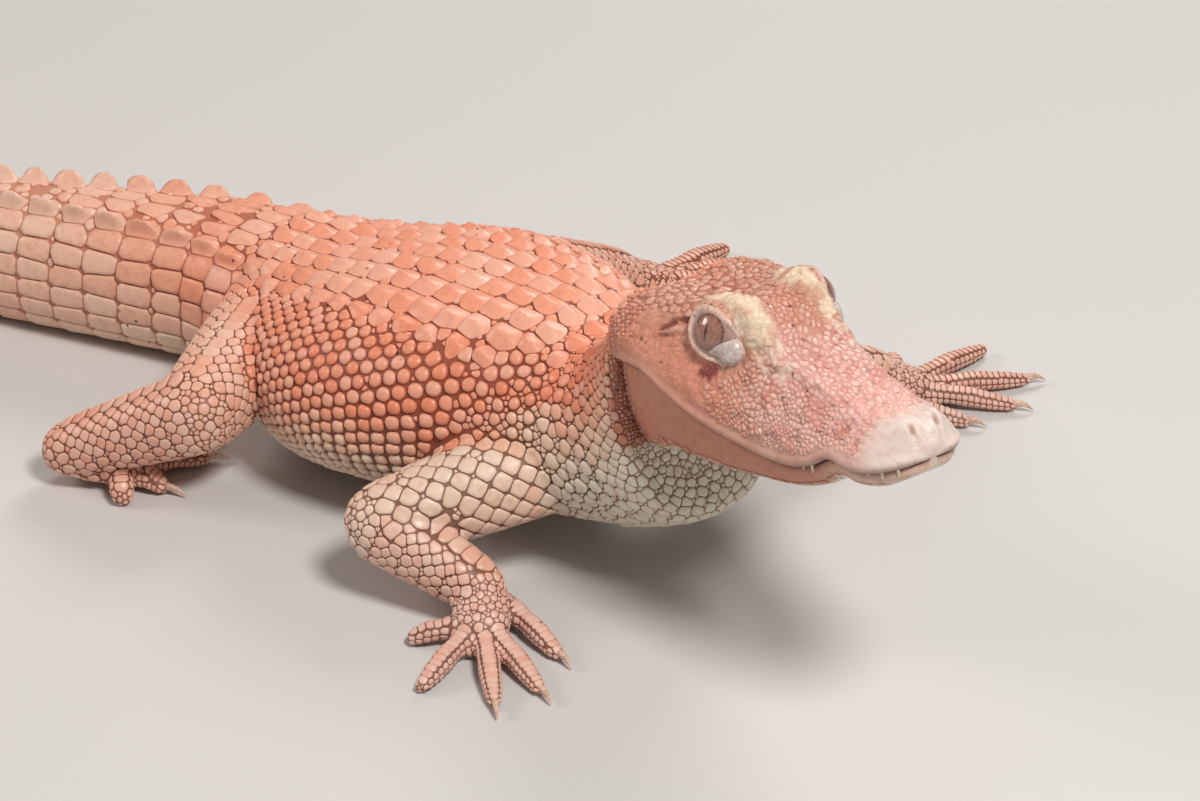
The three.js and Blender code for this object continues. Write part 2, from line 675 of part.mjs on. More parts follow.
// One raised plate with a keel, following the curve of the back
function plate(run, round, long, wide, high) {
  const outline = [[-0.5, -0.3], [-0.5, 0.3], [0.1, 0.5], [0.5, 0.36], [0.5, -0.36], [0.1, -0.5]];
  const sides = outline.length;
  const ring = (size, lift) => outline.map(([a, b]) => {
    const spot = onBack(run + a * long * size, round + b * wide * size);
    return spot.point.addScaledVector(spot.normal, lift);
  });
  const keel = [[-0.3, 0.7], [0.4, 1]].map(([a, share]) => {
    const spot = onBack(run + a * long * 0.94, round);
    return spot.point.addScaledVector(spot.normal, PLATE.rim + (high - PLATE.rim) * share);
  });
  const points = [...ring(0.94, -PLATE.sunk), ...ring(0.86, PLATE.rim), ...keel];
  const faces = [];
  for (let i = 0; i < sides; i += 1) {
    const j = (i + 1) % sides;
    faces.push([i, j, sides + j], [i, sides + j, sides + i]);
  }
  for (let i = 1; i < sides - 1; i += 1) faces.push([0, i + 1, i]);
  const [front, rear] = [12, 13];
  faces.push([6, 7, front], [7, 8, front], [8, rear, front], [8, 9, rear], [9, 10, rear]);
  faces.push([10, 11, rear], [11, front, rear], [11, 6, front]);
  const solid = solidFromMesh(points, faces);
  if (solid.volume() > 0) return solid;
  return solidFromMesh(points, faces.map(([a, b, c]) => [a, c, b]));
}

// One fin of the tail crest: a thin blade that leans back
function fin(run, round, long, high, thick) {
  const base = [[-0.5, 0.25], [0, 1], [0.5, 0.3]];
  const ring = (lift, size, lean) => {
    const right = base.map(([a, b]) => [a * size + lean, b * 0.5 * size]);
    const left = base.map(([a, b]) => [a * size + lean, -b * 0.5 * size]).reverse();
    return [...right, ...left].map(([a, b]) => {
      const spot = onBack(run + a * long, round);
      const beside = onBack(run + a * long, round + b * thick);
      const offset = beside.point.clone().sub(spot.point);
      return spot.point.clone().add(offset).addScaledVector(spot.normal, lift);
    });
  };
  return loft([ring(-FIN.sunk, 0.9, 0), ring(high * 0.6, 0.8, 0.06), ring(high, 0.42, 0.14)]);
}

// Rows of plates whose footprints stay inside one length of the body
function platesBetween(fromRun, toRun) {
  const random = makeRandom(SEED);
  const solids = [];
  for (const row of plateRows) {
    const shake = row.columns.map(() => [random(), random()]);
    if (row.run - row.long / 2 < fromRun + 1.2 || row.run + row.long / 2 > toRun - 1.2) continue;
    row.columns.forEach((column, i) => {
      const grow = 0.94 + 0.1 * shake[i][0];
      const long = row.long * (column.long ?? 1);
      solids.push(plate(row.run, column.round, long, column.wide * grow, column.high * (0.85 + 0.3 * shake[i][1])));
    });
  }
  return solids;
}

function backRow(run, long, perSide, wide, high) {
  const columns = [];
  for (let i = 0; i < perSide; i += 1) {
    for (const sign of [-1, 1]) {
      columns.push({ round: sign * (i + 0.5) * wide, wide: wide * 0.93, high: high * (1 - 0.1 * i) });
    }
  }
  return { run, long, columns };
}

const trunkStart = runAt(NECK_END);
const trunkEnd = runAt(9);
const plateRows = [];
plateRows.push({ run: 34, long: 13, columns: [
  { round: -11, wide: 13, high: 2.6 }, { round: 11, wide: 13, high: 2.6 },
  { round: -27, wide: 12, high: 2.4 }, { round: 27, wide: 12, high: 2.4 },
] });
plateRows.push({ run: 56, long: 21, columns: [
  { round: -10.5, wide: 19, high: 4.2 }, { round: 10.5, wide: 19, high: 4.2 },
  { round: -29, wide: 14, high: 3.2, long: 0.8 }, { round: 29, wide: 14, high: 3.2, long: 0.8 },
] });
const rowCount = Math.floor((trunkEnd - trunkStart) / ROW_PITCH);
for (let i = 0; i < rowCount; i += 1) {
  const run = trunkStart + (i + 0.5) * ((trunkEnd - trunkStart) / rowCount);
  const share = i / (rowCount - 1);
  const perSide = share < 0.12 || share > 0.85 ? 2 : 3;
  const wide = 17.5 + 3 * Math.sin(Math.PI * Math.min(share * 1.2, 1));
  plateRows.push(backRow(run, ROW_PITCH - 3, perSide, wide, PLATE.high));
}

// Crest fins: two lines that draw together and become one past the middle of the tail
function tailFins(from, to) {
  const solids = [];
  const startRun = trunkEnd + 2;
  const endRun = runAt(10);
  const fromRun = runAt(9 + from);
  const toRun = runAt(9 + to);
  let run = startRun + 9;
  while (run < endRun - 14) {
    const share = (run - startRun) / (endRun - startRun);
    const long = 21 - 9 * share;
    const inside = run - long * 0.5 > fromRun + 1.5 && run + long * 0.8 < toRun - 1.5;
    const high = FIN.high * (share < 0.12 ? 0.45 + 4 * share : 1.05 - 0.45 * share);
    const apart = (1 - share * 1.9) * tailValue('wide', share) * 0.72;
    if (inside && apart > 3.4) {
      for (const sign of [-1, 1]) solids.push(fin(run, sign * apart, long, high, FIN.thick));
    } else if (inside) {
      solids.push(fin(run, 0, long, high * 1.2, Math.min(FIN.thick, tailValue('wide', share) * 0.6)));
    }
    run += long + 0.8;
  }
  return solids;
}

// The whole body a gap larger, which trims the roots of the limbs
const NECK_STEPS = 6;
const FRONT_STEPS = 8;
const REAR_STEPS = 7;
const TAIL_STEPS = 5;
const trunkStops = [
  ...places(0, NECK_END, NECK_STEPS).slice(1, -1),
  ...places(NECK_END, TRUNK_MIDDLE, FRONT_STEPS).slice(0, -1),
  ...places(TRUNK_MIDDLE, 9, REAR_STEPS),
];
const bodyBlock = join([
  loft(trunkStops.map((at) => trunkRing(at, NODE_GAP, at === 9 ? -NODE_GAP : 0))),
  loft(places(0, TAIL_CUTS[1], TAIL_STEPS).map((at) => tailRing(at, NODE_GAP))),
]);

// Nodes and their finish
const FINISH = {
  skin: { color: 0xe6c9ae, roughness: 0.45 },
  belly: { color: 0xeed9c0, roughness: 0.5 },
  head: { color: 0xddb79c, roughness: 0.45 },
  eye: { color: 0xa9796c, roughness: 0.12 },
};

function addNode(group, name, solid, finish) {
  const mesh = solid.getMesh();
  const count = mesh.vertProperties.length / mesh.numProp;
  const corners = new Float32Array(count * 3);
  for (let i = 0; i < count; i += 1) {
    for (let k = 0; k < 3; k += 1) corners[3 * i + k] = mesh.vertProperties[mesh.numProp * i + k];
  }
  const shape = new THREE.BufferGeometry();
  shape.setAttribute('position', new THREE.BufferAttribute(corners, 3));
  shape.setIndex(Array.from(mesh.triVerts));
  shape.computeVertexNormals();
  const material = new THREE.MeshStandardMaterial({ ...FINISH[finish], metalness: 0, flatShading: true });
  const node = new THREE.Mesh(shape, material);
  node.name = name;
  group.add(node);
}

function build() {
  const group = new THREE.Group();
  addNode(group, 'head', makeHead(), 'head');
  addNode(group, 'jaw', makeJaw(), 'head');
  addNode(group, 'eye_right', eyeBall(-1, 0), 'eye');
  addNode(group, 'eye_left', eyeBall(1, 0), 'eye');
  const neck = trunkLength(0, NECK_END, NECK_STEPS);
  addNode(group, 'neck', largest(join([neck, ...platesBetween(0, trunkStart)])), 'skin');
  const middleRun = runAt(TRUNK_MIDDLE);
  const front = trunkLength(NECK_END, TRUNK_MIDDLE, FRONT_STEPS);
  const rear = trunkLength(TRUNK_MIDDLE, 9, REAR_STEPS);
  const trimmed = (solid) => largest(solid.intersect(aboveFloor));
  addNode(group, 'torso_front', trimmed(join([front, ...platesBetween(trunkStart, middleRun)])), 'belly');
  addNode(group, 'torso_rear', trimmed(join([rear, ...platesBetween(middleRun, trunkEnd)])), 'belly');
  for (let i = 0; i < TAIL_CUTS.length - 1; i += 1) {
    const length = tailLength(TAIL_CUTS[i], TAIL_CUTS[i + 1], TAIL_STEPS);
    const fins = tailFins(TAIL_CUTS[i], TAIL_CUTS[i + 1]);
    addNode(group, `tail_${i + 1}`, trimmed(join([length, ...fins])), 'skin');
  }
  const names = { arm: ['upper_arm', 'forearm', 'hand'], leg: ['thigh', 'shank', 'foot'] };
  for (const side of ['right', 'left']) {
    for (const kind of ['arm', 'leg']) {
      limb(side, kind).forEach((solid, i) => addNode(group, `${names[kind][i]}_${side}`, solid, 'belly'));
    }
  }
  return group;
}

// The frame's origin is under the middle of the whole part, on the floor
const group = build();
const box = new THREE.Box3().setFromObject(group);
const centre = box.getCenter(vec(0, 0, 0));
group.position.set(-centre.x, -centre.y, -box.min.z);

export default group;
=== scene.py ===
import math

import bmesh
import bpy
import numpy as np
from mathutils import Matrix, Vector
from mathutils.bvhtree import BVHTree
from mathutils.kdtree import KDTree


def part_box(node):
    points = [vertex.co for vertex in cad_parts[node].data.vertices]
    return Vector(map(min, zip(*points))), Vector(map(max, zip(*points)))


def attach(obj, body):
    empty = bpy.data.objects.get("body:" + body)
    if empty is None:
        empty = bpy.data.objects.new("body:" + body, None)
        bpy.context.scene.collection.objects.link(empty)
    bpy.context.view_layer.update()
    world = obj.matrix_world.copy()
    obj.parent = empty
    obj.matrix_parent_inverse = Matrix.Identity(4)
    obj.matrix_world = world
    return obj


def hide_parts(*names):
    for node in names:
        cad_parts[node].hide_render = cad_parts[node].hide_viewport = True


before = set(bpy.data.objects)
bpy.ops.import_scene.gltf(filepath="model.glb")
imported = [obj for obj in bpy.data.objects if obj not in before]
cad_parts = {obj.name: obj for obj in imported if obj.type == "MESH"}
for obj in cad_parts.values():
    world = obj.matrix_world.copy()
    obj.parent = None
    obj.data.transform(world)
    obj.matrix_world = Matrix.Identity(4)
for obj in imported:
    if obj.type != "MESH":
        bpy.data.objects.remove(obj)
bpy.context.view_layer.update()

random = np.random.default_rng(46)

# Named sizes in millimetres: X forward along the trunk, Y to the animal's left, Z up from the floor
HEAD_LENGTH = 180.0
HEAD_AT = np.array([160.0, -4.0, 136.0])
HEAD_YAW, HEAD_NOSE_UP, HEAD_ROLL = -11.3, 8.0, 2.6

# Trunk and neck sections: place of the middle, lean and turn of the section, half width, height, depth
TRUNK = np.array([
    [160, -4, 134, 8, -11.3, 46, 34, 47],
    [150, -3, 112, 26, -7, 47, 37, 62],
    [131, -1, 90, 29, -3, 49, 37, 57],
    [104, 0, 74, 15, 0, 53, 44, 50],
    [70, 0, 66, 4, 0, 63, 52, 47],
    [32, 0, 62, 0, 0, 80, 52, 51],
    [-10, 0, 57, 0, 0, 90, 51, 52],
    [-50, 0, 52, 0, 0, 87, 46.5, 52.6],
    [-90, 0, 48, 0, 1, 69, 39, 48.8],
    [-133, -1, 40.5, 0, 13, 47, 40.5, 41.3],
], float)
TAIL_PATH = np.array([
    [-133, -1, 0], [-166, -9, 0], [-205, -27, 0], [-253, -50, 0], [-300, -71, 0],
    [-380, -101, 0], [-470, -122, 0], [-570, -128, 0], [-660, -114, 0], [-728, -88, 0],
], float)
TAIL_SIZES = np.array([
    [0, 47, 81], [0.06, 41, 79], [0.16, 35, 75], [0.3, 29, 68], [0.45, 23, 56],
    [0.6, 17, 44], [0.75, 11.5, 31], [0.88, 6.5, 19], [1, 2, 6],
], float)

LIMBS = {
    "right": {"arm": [[96, -28, 57], [58, -108, 38], [108, -92, 19]],
              "leg": [[-108, -24, 48], [-69, -112, 45], [-122, -150, 18]]},
    "left": {"arm": [[96, 30, 62], [99, 119, 43], [101, 182, 19]],
             "leg": [[-108, 24, 42], [-50, 103, 45], [-62, 163, 18]]},
}
GIRTH = {"arm": [22, 17.5, 12.5], "leg": [27, 20, 13.5]}
TIPS = {
    "right": {"arm": [[166, -90], [180, -116], [172, -141], [133, -152], [99, -129]],
              "leg": [[-100, -76], [-82, -84], [-70, -121], [-84, -148]]},
    "left": {"arm": [[155, 205], [160, 234], [145, 261], [105, 262], [77, 221]],
             "leg": [[-8, 214], [-16, 240], [-36, 252], [-62, 244]]},
}
DIGITS = {"arm": {"thick": 5.2, "palm": 24, "web": 0.47, "claw": 10, "thumb": (0.02, 0.5)},
          "leg": {"thick": 6.0, "palm": 30, "web": 0.74, "claw": 12, "thumb": (0.2, 0.25)}}
CLAWED = 3

# Head sections in head lengths: along, mouth height, lip, cheek, side and crown edge as across and up, middle
HEAD = np.array([
    [0, 0.03, 0.245, 0.25, 0.09, 0.222, 0.135, 0.15, 0.168, 0.168],
    [0.06, 0.04, 0.258, 0.262, 0.1, 0.228, 0.14, 0.152, 0.175, 0.172],
    [0.15, 0.045, 0.262, 0.262, 0.09, 0.218, 0.14, 0.146, 0.185, 0.178],
    [0.24, 0.005, 0.252, 0.25, 0.06, 0.198, 0.125, 0.134, 0.215, 0.195],
    [0.32, -0.03, 0.236, 0.232, 0.035, 0.18, 0.11, 0.122, 0.243, 0.215],
    [0.4, -0.055, 0.216, 0.213, 0.015, 0.165, 0.095, 0.106, 0.245, 0.218],
    [0.47, -0.07, 0.199, 0.197, 0, 0.155, 0.08, 0.088, 0.19, 0.178],
    [0.54, -0.08, 0.184, 0.184, -0.01, 0.146, 0.065, 0.083, 0.14, 0.145],
    [0.62, -0.078, 0.17, 0.171, -0.018, 0.137, 0.05, 0.08, 0.115, 0.125],
    [0.69, -0.058, 0.158, 0.158, -0.01, 0.128, 0.045, 0.074, 0.1, 0.11],
    [0.75, -0.025, 0.144, 0.145, 0.005, 0.12, 0.045, 0.069, 0.09, 0.1],
    [0.82, -0.028, 0.142, 0.142, 0.005, 0.116, 0.045, 0.066, 0.085, 0.092],
    [0.88, -0.022, 0.13, 0.13, 0.008, 0.106, 0.046, 0.06, 0.09, 0.09],
    [0.93, -0.01, 0.104, 0.104, 0.012, 0.086, 0.046, 0.05, 0.09, 0.088],
    [0.96, 0, 0.068, 0.068, 0.018, 0.056, 0.042, 0.034, 0.066, 0.07],
    [0.975, 0.006, 0.032, 0.032, 0.02, 0.026, 0.03, 0.016, 0.042, 0.044],
], float)
JAW_INSET = 0.018
JAW_DEPTH = np.array([
    [0, 0.28], [0.1, 0.27], [0.2, 0.225], [0.32, 0.165], [0.45, 0.115],
    [0.6, 0.078], [0.7, 0.066], [0.82, 0.056], [0.92, 0.042], [0.975, 0.025],
], float)
EYE_AT = np.array([0.322, 0.108, 0.163])
EYE_LONG, EYE_BACK, EYE_TALL, EYE_TILT = 67, 58, 37, -25
BALL_AT = np.array([0.3136, 0.114, 0.1595])
BALL_RADIUS = 0.08
LID_LOOKS = np.array([0.4, 0.86, 0.22])
PUPIL_LOOKS = np.array([0.33, 0.88, 0.35])
NOSTRIL_AT = np.array([0.945, 0.034, 0.092])

# How far the skin lies inside the finished surface, the remesh's size and how square the sections are
SKIN_INSET = 0.9
BODY_VOXEL = 1.9
OVAL_POWER = 2.35


# Curves

def smooth(places, values, at):
    """A smooth curve through values given at rising places."""
    places = np.asarray(places, float)
    values = np.asarray(values, float)
    at = np.asarray(at, float)
    last = len(places) - 1
    i = np.clip(np.searchsorted(places, at, side="right") - 1, 0, last - 1)
    before = np.maximum(i - 1, 0)
    after = np.minimum(i + 2, last)
    span = places[i + 1] - places[i]
    here = (values[i + 1] - values[before]) / (places[i + 1] - places[before])
    ahead = (values[after] - values[i]) / (places[after] - places[i])
    u = (at - places[i]) / span
    return ((2 * u ** 3 - 3 * u ** 2 + 1) * values[i] + (u ** 3 - 2 * u ** 2 + u) * span * here
            + (3 * u ** 2 - 2 * u ** 3) * values[i + 1] + (u ** 3 - u ** 2) * span * ahead)


def curve(corners, at):
    """Points of a smooth open line through its corners, at places from 0 to 1."""
    corners = np.asarray(corners, float)
    count = corners.shape[-2]
    first = 2 * corners[..., :1, :] - corners[..., 1:2, :]
    last = 2 * corners[..., -1:, :] - corners[..., -2:-1, :]
    p = np.concatenate([first, corners, last], axis=-2)
    step = np.maximum(np.sqrt(np.linalg.norm(np.diff(p, axis=-2), axis=-1)), 1e-9)
    at = np.asarray(at, float) * (count - 1)
    i = np.clip(at.astype(int), 0, count - 2)
    u = (at - i)[:, None]
    a, b, c, d = (p[..., i + n, :] for n in range(4))
    one, two, three = (step[..., i + n][..., None] for n in range(3))
    leave = ((b - a) / one - (c - a) / (one + two) + (c - b) / two) * two
    arrive = ((c - b) / two - (d - b) / (two + three) + (d - c) / three) * two
    return ((2 * u ** 3 - 3 * u ** 2 + 1) * b + (u ** 3 - 2 * u ** 2 + u) * leave
            + (3 * u ** 2 - 2 * u ** 3) * c + (u ** 3 - u ** 2) * arrive)


def spread(counts):
    """Places from 0 to 1 along a line of corners, with a count of steps for each span."""
    stops = [np.linspace(i, i + 1, n, endpoint=False) for i, n in enumerate(counts)]
    return np.append(np.concatenate(stops), len(counts)) / len(counts)


def soft_step(low, high, value):
    u = np.clip((value - low) / (high - low), 0, 1)
    return u * u * (3 - 2 * u)


def unit(v):
    v = np.asarray(v, float)
    return v / np.maximum(np.linalg.norm(v, axis=-1, keepdims=True), 1e-12)


def lattice_value(cell, seed):
    """A steady random number from 0 to 1 for each corner of a lattice."""
    x, y, z = (cell[..., k].astype(np.uint64) for k in range(3))
    mixed = (x * np.uint64(73856093)) ^ (y * np.uint64(19349663)) ^ (z * np.uint64(83492791))
    mixed = (mixed + np.uint64(seed * 2654435761)) & np.uint64(0xFFFFFFFF)
    mixed = ((mixed ^ (mixed >> np.uint64(15))) * np.uint64(2246822519)) & np.uint64(0xFFFFFFFF)
    mixed = ((mixed ^ (mixed >> np.uint64(13))) * np.uint64(3266489917)) & np.uint64(0xFFFFFFFF)
    return ((mixed ^ (mixed >> np.uint64(16))) & np.uint64(0xFFFFFF)).astype(float) / 0xFFFFFF


def grain(points, size, seed):
    """Soft random hills from -1 to 1 over space, with hills of one size."""
    at = np.asarray(points, float) / size + 1000.0
    cell = np.floor(at).astype(np.int64)
    u = at - cell
    u = u * u * (3 - 2 * u)
    total = np.zeros(at.shape[:-1])
    for corner in range(8):
        offset = np.array([corner & 1, (corner >> 1) & 1, corner >> 2])
        share = np.prod(np.where(offset == 1, u, 1 - u), axis=-1)
        total += share * lattice_value(cell + offset, seed)
    return total * 2 - 1


# The part's own frame in metres: the middle of the right eyeball says how far it was moved

def head_turn():
    yaw, pitch, roll = (math.radians(v) for v in (HEAD_YAW, -HEAD_NOSE_UP, HEAD_ROLL))
    turn_z = np.array([[math.cos(yaw), -math.sin(yaw), 0], [math.sin(yaw), math.cos(yaw), 0], [0, 0, 1]])
    turn_y = np.array([[math.cos(pitch), 0, math.sin(pitch)], [0, 1, 0], [-math.sin(pitch), 0, math.cos(pitch)]])
    turn_x = np.array([[1, 0, 0], [0, math.cos(roll), -math.sin(roll)], [0, math.sin(roll), math.cos(roll)]])
    return turn_z @ turn_y @ turn_x


HEAD_TURN = head_turn()


def in_head(points):
    return np.asarray(points, float) * HEAD_LENGTH @ HEAD_TURN.T + HEAD_AT


def to_head(points):
    return (np.asarray(points, float) - HEAD_AT) @ HEAD_TURN / HEAD_LENGTH


def mirror(point, sign):
    return np.asarray(point, float) * np.array([1, sign, 1])


low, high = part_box("eye_right")
SHIFT = np.array((low + high) / 2) * 1000 - in_head(mirror(EYE_AT, -1))


def to_frame(points):
    return (np.asarray(points, float) + SHIFT) / 1000


# Meshes

def ball(rings, start, end):
    """A closed bmesh on a sphere's faces, its rings moved to the given places."""
    count, sides = rings.shape[:2]
    bm = bmesh.new()
    bmesh.ops.create_uvsphere(bm, u_segments=sides, v_segments=count + 1, radius=1)
    for v in bm.verts:
        x, y, z = v.co
        ring = round(math.acos(max(-1, min(1, z))) / math.pi * (count + 1))
        if ring == 0:
            v.co = start
        elif ring == count + 1:
            v.co = end
        else:
            side = round(math.atan2(y, x) / (2 * math.pi) * sides) % sides
            v.co = rings[ring - 1, side]
    bmesh.ops.recalc_face_normals(bm, faces=bm.faces)
    if bm.calc_volume(signed=True) < 0:
        bmesh.ops.reverse_faces(bm, faces=bm.faces)
    return bm


def add_to(target, bm):
    """Puts one bmesh into another."""
    mesh = bpy.data.meshes.new("passing")
    bm.to_mesh(mesh)
    bm.free()
    target.from_mesh(mesh)
    bpy.data.meshes.remove(mesh)


def object_from(bm, name):
    mesh = bpy.data.meshes.new(name)
    bm.to_mesh(mesh)
    bm.free()
    piece = bpy.data.objects.new(name, mesh)
    bpy.context.scene.collection.objects.link(piece)
    return piece


def places_of(mesh):
    co = np.zeros(len(mesh.vertices) * 3, np.float32)
    mesh.vertices.foreach_get("co", co)
    return co.reshape(-1, 3).astype(float)


def move_to(mesh, points):
    mesh.vertices.foreach_set("co", np.asarray(points, np.float32).ravel())
    mesh.update()


def normals_of(mesh):
    flat = np.zeros(len(mesh.vertices) * 3, np.float32)
    mesh.vertex_normals.foreach_get("vector", flat)
    return flat.reshape(-1, 3).astype(float)


def edges_of(mesh):
    pairs = np.zeros(len(mesh.edges) * 2, np.int32)
    mesh.edges.foreach_get("vertices", pairs)
    return pairs.reshape(-1, 2)


def even_out(points, edges, rounds, share=0.5, back=0.53, mask=None):
    """Smooths points along their edges, with a step back each round so that nothing shrinks."""
    count = np.bincount(edges.ravel(), minlength=len(points))[:, None]
    points = points.copy()
    weight = 1 if mask is None else mask[:, None]
    for step in [share, -back] * rounds:
        total = np.zeros_like(points)
        for k in range(points.shape[1]):
            total[:, k] = (np.bincount(edges[:, 0], points[edges[:, 1], k], len(points))
                           + np.bincount(edges[:, 1], points[edges[:, 0], k], len(points)))
        points += step * weight * (total / np.maximum(count, 1) - points)
    return points


def apply_modifiers(piece):
    """Replaces a piece's mesh by what its modifiers make of it."""
    graph = bpy.context.evaluated_depsgraph_get()
    finished = bpy.data.meshes.new_from_object(piece.evaluated_get(graph))
    old = piece.data
    piece.modifiers.clear()
    piece.data = finished
    bpy.data.meshes.remove(old)


# Body sections

TAIL_FINE = np.linspace(0, 1, 401)
TAIL_LINE = curve(TAIL_PATH, TAIL_FINE)
TAIL_RUN = np.insert(np.cumsum(np.linalg.norm(np.diff(TAIL_LINE, axis=0), axis=1)), 0, 0)


def tail_point(share):
    return curve(TAIL_PATH, np.interp(np.asarray(share) * TAIL_RUN[-1], TAIL_RUN, TAIL_FINE))


tail_start = tail_point(np.array([0.0]))[0] - tail_point(np.array([0.001]))[0]
TRUNK[-1, 4] = math.degrees(math.atan2(tail_start[1], tail_start[0]))


def body_section(at):
    """Middle, across, up, half width, height and depth of the body at places from 0 (head) to 10 (tail tip)."""
    at = np.asarray(at, float)
    value = [smooth(np.arange(10), TRUNK[:, k], np.minimum(at, 9)) for k in range(8)]
    lean, turn = np.radians(value[3]), np.radians(value[4])
    forward = np.stack([np.cos(turn) * np.cos(lean), np.sin(turn) * np.cos(lean), np.sin(lean)], -1)
    middle = np.stack(value[:3], -1)
    wide, up, down = value[5:8]
    share = np.clip(at - 9, 0, 1)
    on_tail = tail_point(share)
    ahead = tail_point(np.minimum(share + 0.002, 1))
    behind = tail_point(np.maximum(share - 0.002, 0))
    tail_wide = smooth(TAIL_SIZES[:, 0], TAIL_SIZES[:, 1], share)
    top = smooth(TAIL_SIZES[:, 0], TAIL_SIZES[:, 2], share)
    on_tail[:, 2] = top * 0.5
    is_tail = (at > 9)[:, None]
    forward = np.where(is_tail, unit(behind - ahead), forward)
    middle = np.where(is_tail, on_tail, middle)
    across = np.where(is_tail, np.stack([-forward[:, 1], forward[:, 0], forward[:, 2] * 0], -1),
                      np.stack([-np.sin(turn), np.cos(turn), turn * 0], -1))
    across = unit(across)
    upward = np.cross(forward, across)
    wide = np.where(is_tail[:, 0], tail_wide, wide)
    up = np.where(is_tail[:, 0], top * 0.5, up)
    down = np.where(is_tail[:, 0], top * 0.5 + 0.8, down)
    return middle, across, upward, wide, up, down


def oval(middle, across, upward, wide, up, down, turn):
    """Points of oval sections, one row for each section and one column for each turn."""
    c, s = np.cos(turn), np.sin(turn)
    flat = 2 / OVAL_POWER
    y = np.sign(c) * np.abs(c) ** flat
    z = np.sign(s) * np.abs(s) ** flat
    reach = np.where(s > 0, up[:, None], down[:, None])
    return (middle[:, None, :] + across[:, None, :] * (wide[:, None] * y)[..., None]
            + upward[:, None, :] * (reach * z)[..., None])


def body_rings(at, sides, grow):
    middle, across, upward, wide, up, down = body_section(at)
    turn = 2 * np.pi * np.arange(sides) / sides
    return oval(middle, across, upward, wide + grow, up + grow, down + grow, turn)


def limb_rings(start, end, thick_start, thick_end, swell, flat, sides, grow):
    start, end = np.asarray(start, float), np.asarray(end, float)
    long = np.linalg.norm(end - start)
    along = (end - start) / long
    side = unit([-along[1], along[0], 0])
    up = np.cross(along, side)
    stops = np.array([
        [-0.85 * thick_start, 0.45 * thick_start], [-0.5 * thick_start, 0.84 * thick_start], [0, thick_start],
        [0.3 * long, (0.7 * thick_start + 0.3 * thick_end) * swell],
        [0.65 * long, (0.35 * thick_start + 0.65 * thick_end) * swell],
        [long, thick_end], [long + 0.5 * thick_end, 0.84 * thick_end], [long + 0.85 * thick_end, 0.45 * thick_end],
    ])
    fine = np.linspace(stops[0, 0], stops[-1, 0], 26)
    thick = smooth(stops[:, 0], stops[:, 1], fine) + grow
    count = len(fine)
    middle = start + along * fine[:, None]
    turn = 2 * np.pi * np.arange(sides) / sides
    return oval(middle, np.tile(side, (count, 1)), np.tile(up, (count, 1)), thick, thick * flat, thick * flat, turn)


def limb_plan(side, kind):
    """Joints, girths, palm end, reach and digit knuckles and tips of one limb."""
    joints = np.array(LIMBS[side][kind], float)
    look = DIGITS[kind]
    tips = np.array([[x, y, 4.0] for x, y in TIPS[side][kind]])
    reach = tips.mean(0) - joints[2]
    reach[2] = 0
    reach = unit(reach)
    palm_end = joints[2] + reach * look["palm"] * 0.7
    palm_end[2] = 9.5
    knuckles = []
    thumb_side = np.array([-reach[1], reach[0], 0])
    thumb_side *= np.sign(thumb_side @ (tips[0] - joints[2]))
    for i, tip in enumerate(tips):
        out = tip - joints[2]
        out[2] = 0
        forward, aside, outward = (look["thumb"][0], look["thumb"][1], 0.25) if i == 0 else (0.35, 0, 0.72)
        step = reach * forward + thumb_side * aside + unit(out) * outward
        knuckles.append(joints[2] + step * look["palm"])
    return {"joints": joints, "girth": GIRTH[kind], "look": look, "tips": tips, "reach": reach,
            "palm_end": palm_end, "knuckles": np.array(knuckles)}


DIGIT_STOPS = np.array([[0, 8.6, 1.08], [0.24, 8, 0.9], [0.44, 7.6, 1], [0.8, 5, 0.8], [1, 3.8, 0.5]])


def digit_line(plan, i, share):
    """Middle and thickness along one digit, from before the knuckle to the end of the flesh."""
    knuckle, tip = plan["knuckles"][i], plan["tips"][i]
    along = tip - knuckle
    along[2] = 0
    along = unit(along)
    look = plan["look"]
    end = tip - along * look["claw"] * 0.8 if i < CLAWED else tip
    share = np.asarray(share, float)
    middle = knuckle + (end - knuckle) * share[:, None]
    high = smooth(DIGIT_STOPS[:, 0], DIGIT_STOPS[:, 1], np.clip(share, 0, 1))
    middle[:, 2] = high * look["thick"] / 6
    thick = smooth(DIGIT_STOPS[:, 0], DIGIT_STOPS[:, 2], np.clip(share, 0, 1)) * look["thick"]
    return middle, thick, along, end


def digit_rings(plan, i, grow):
    share = np.array([-0.3, -0.1, 0, 0.12, 0.24, 0.34, 0.44, 0.56, 0.68, 0.8, 0.9, 1])
    middle, thick, along, _ = digit_line(plan, i, share)
    thick = thick + grow
    side = unit([-along[1], along[0], 0])
    count = len(middle)
    turn = 2 * np.pi * np.arange(16) / 16
    return oval(middle, np.tile(side, (count, 1)), np.tile([0, 0, 1.0], (count, 1)), thick, thick * 0.9,
                thick * 0.9, turn)


def closed_rings(rings):
    return ball(rings, rings[0].mean(0), rings[-1].mean(0))


def web_between(plan, i):
    """A thin web of skin between two digits, as a flat closed slab."""
    start = plan["joints"][2] + plan["reach"] * plan["look"]["palm"] * 0.55
    share = plan["look"]["web"]
    one = start + (plan["tips"][i] - start) * share
    two = start + (plan["tips"][i + 1] - start) * share
    bay = (one + two) / 2 * 0.75 + start * 0.25
    bm = bmesh.new()
    corners = [bm.verts.new((p[0], p[1], 2.6)) for p in (start, one, bay, two)]
    face = bm.faces.new(corners)
    top = bmesh.ops.extrude_face_region(bm, geom=[face])
    moved = [v for v in top["geom"] if isinstance(v, bmesh.types.BMVert)]
    bmesh.ops.translate(bm, verts=moved, vec=(0, 0, 2.6))
    bmesh.ops.recalc_face_normals(bm, faces=bm.faces)
    return bm


PLANS = {(side, kind): limb_plan(side, kind) for side in LIMBS for kind in ("arm", "leg")}


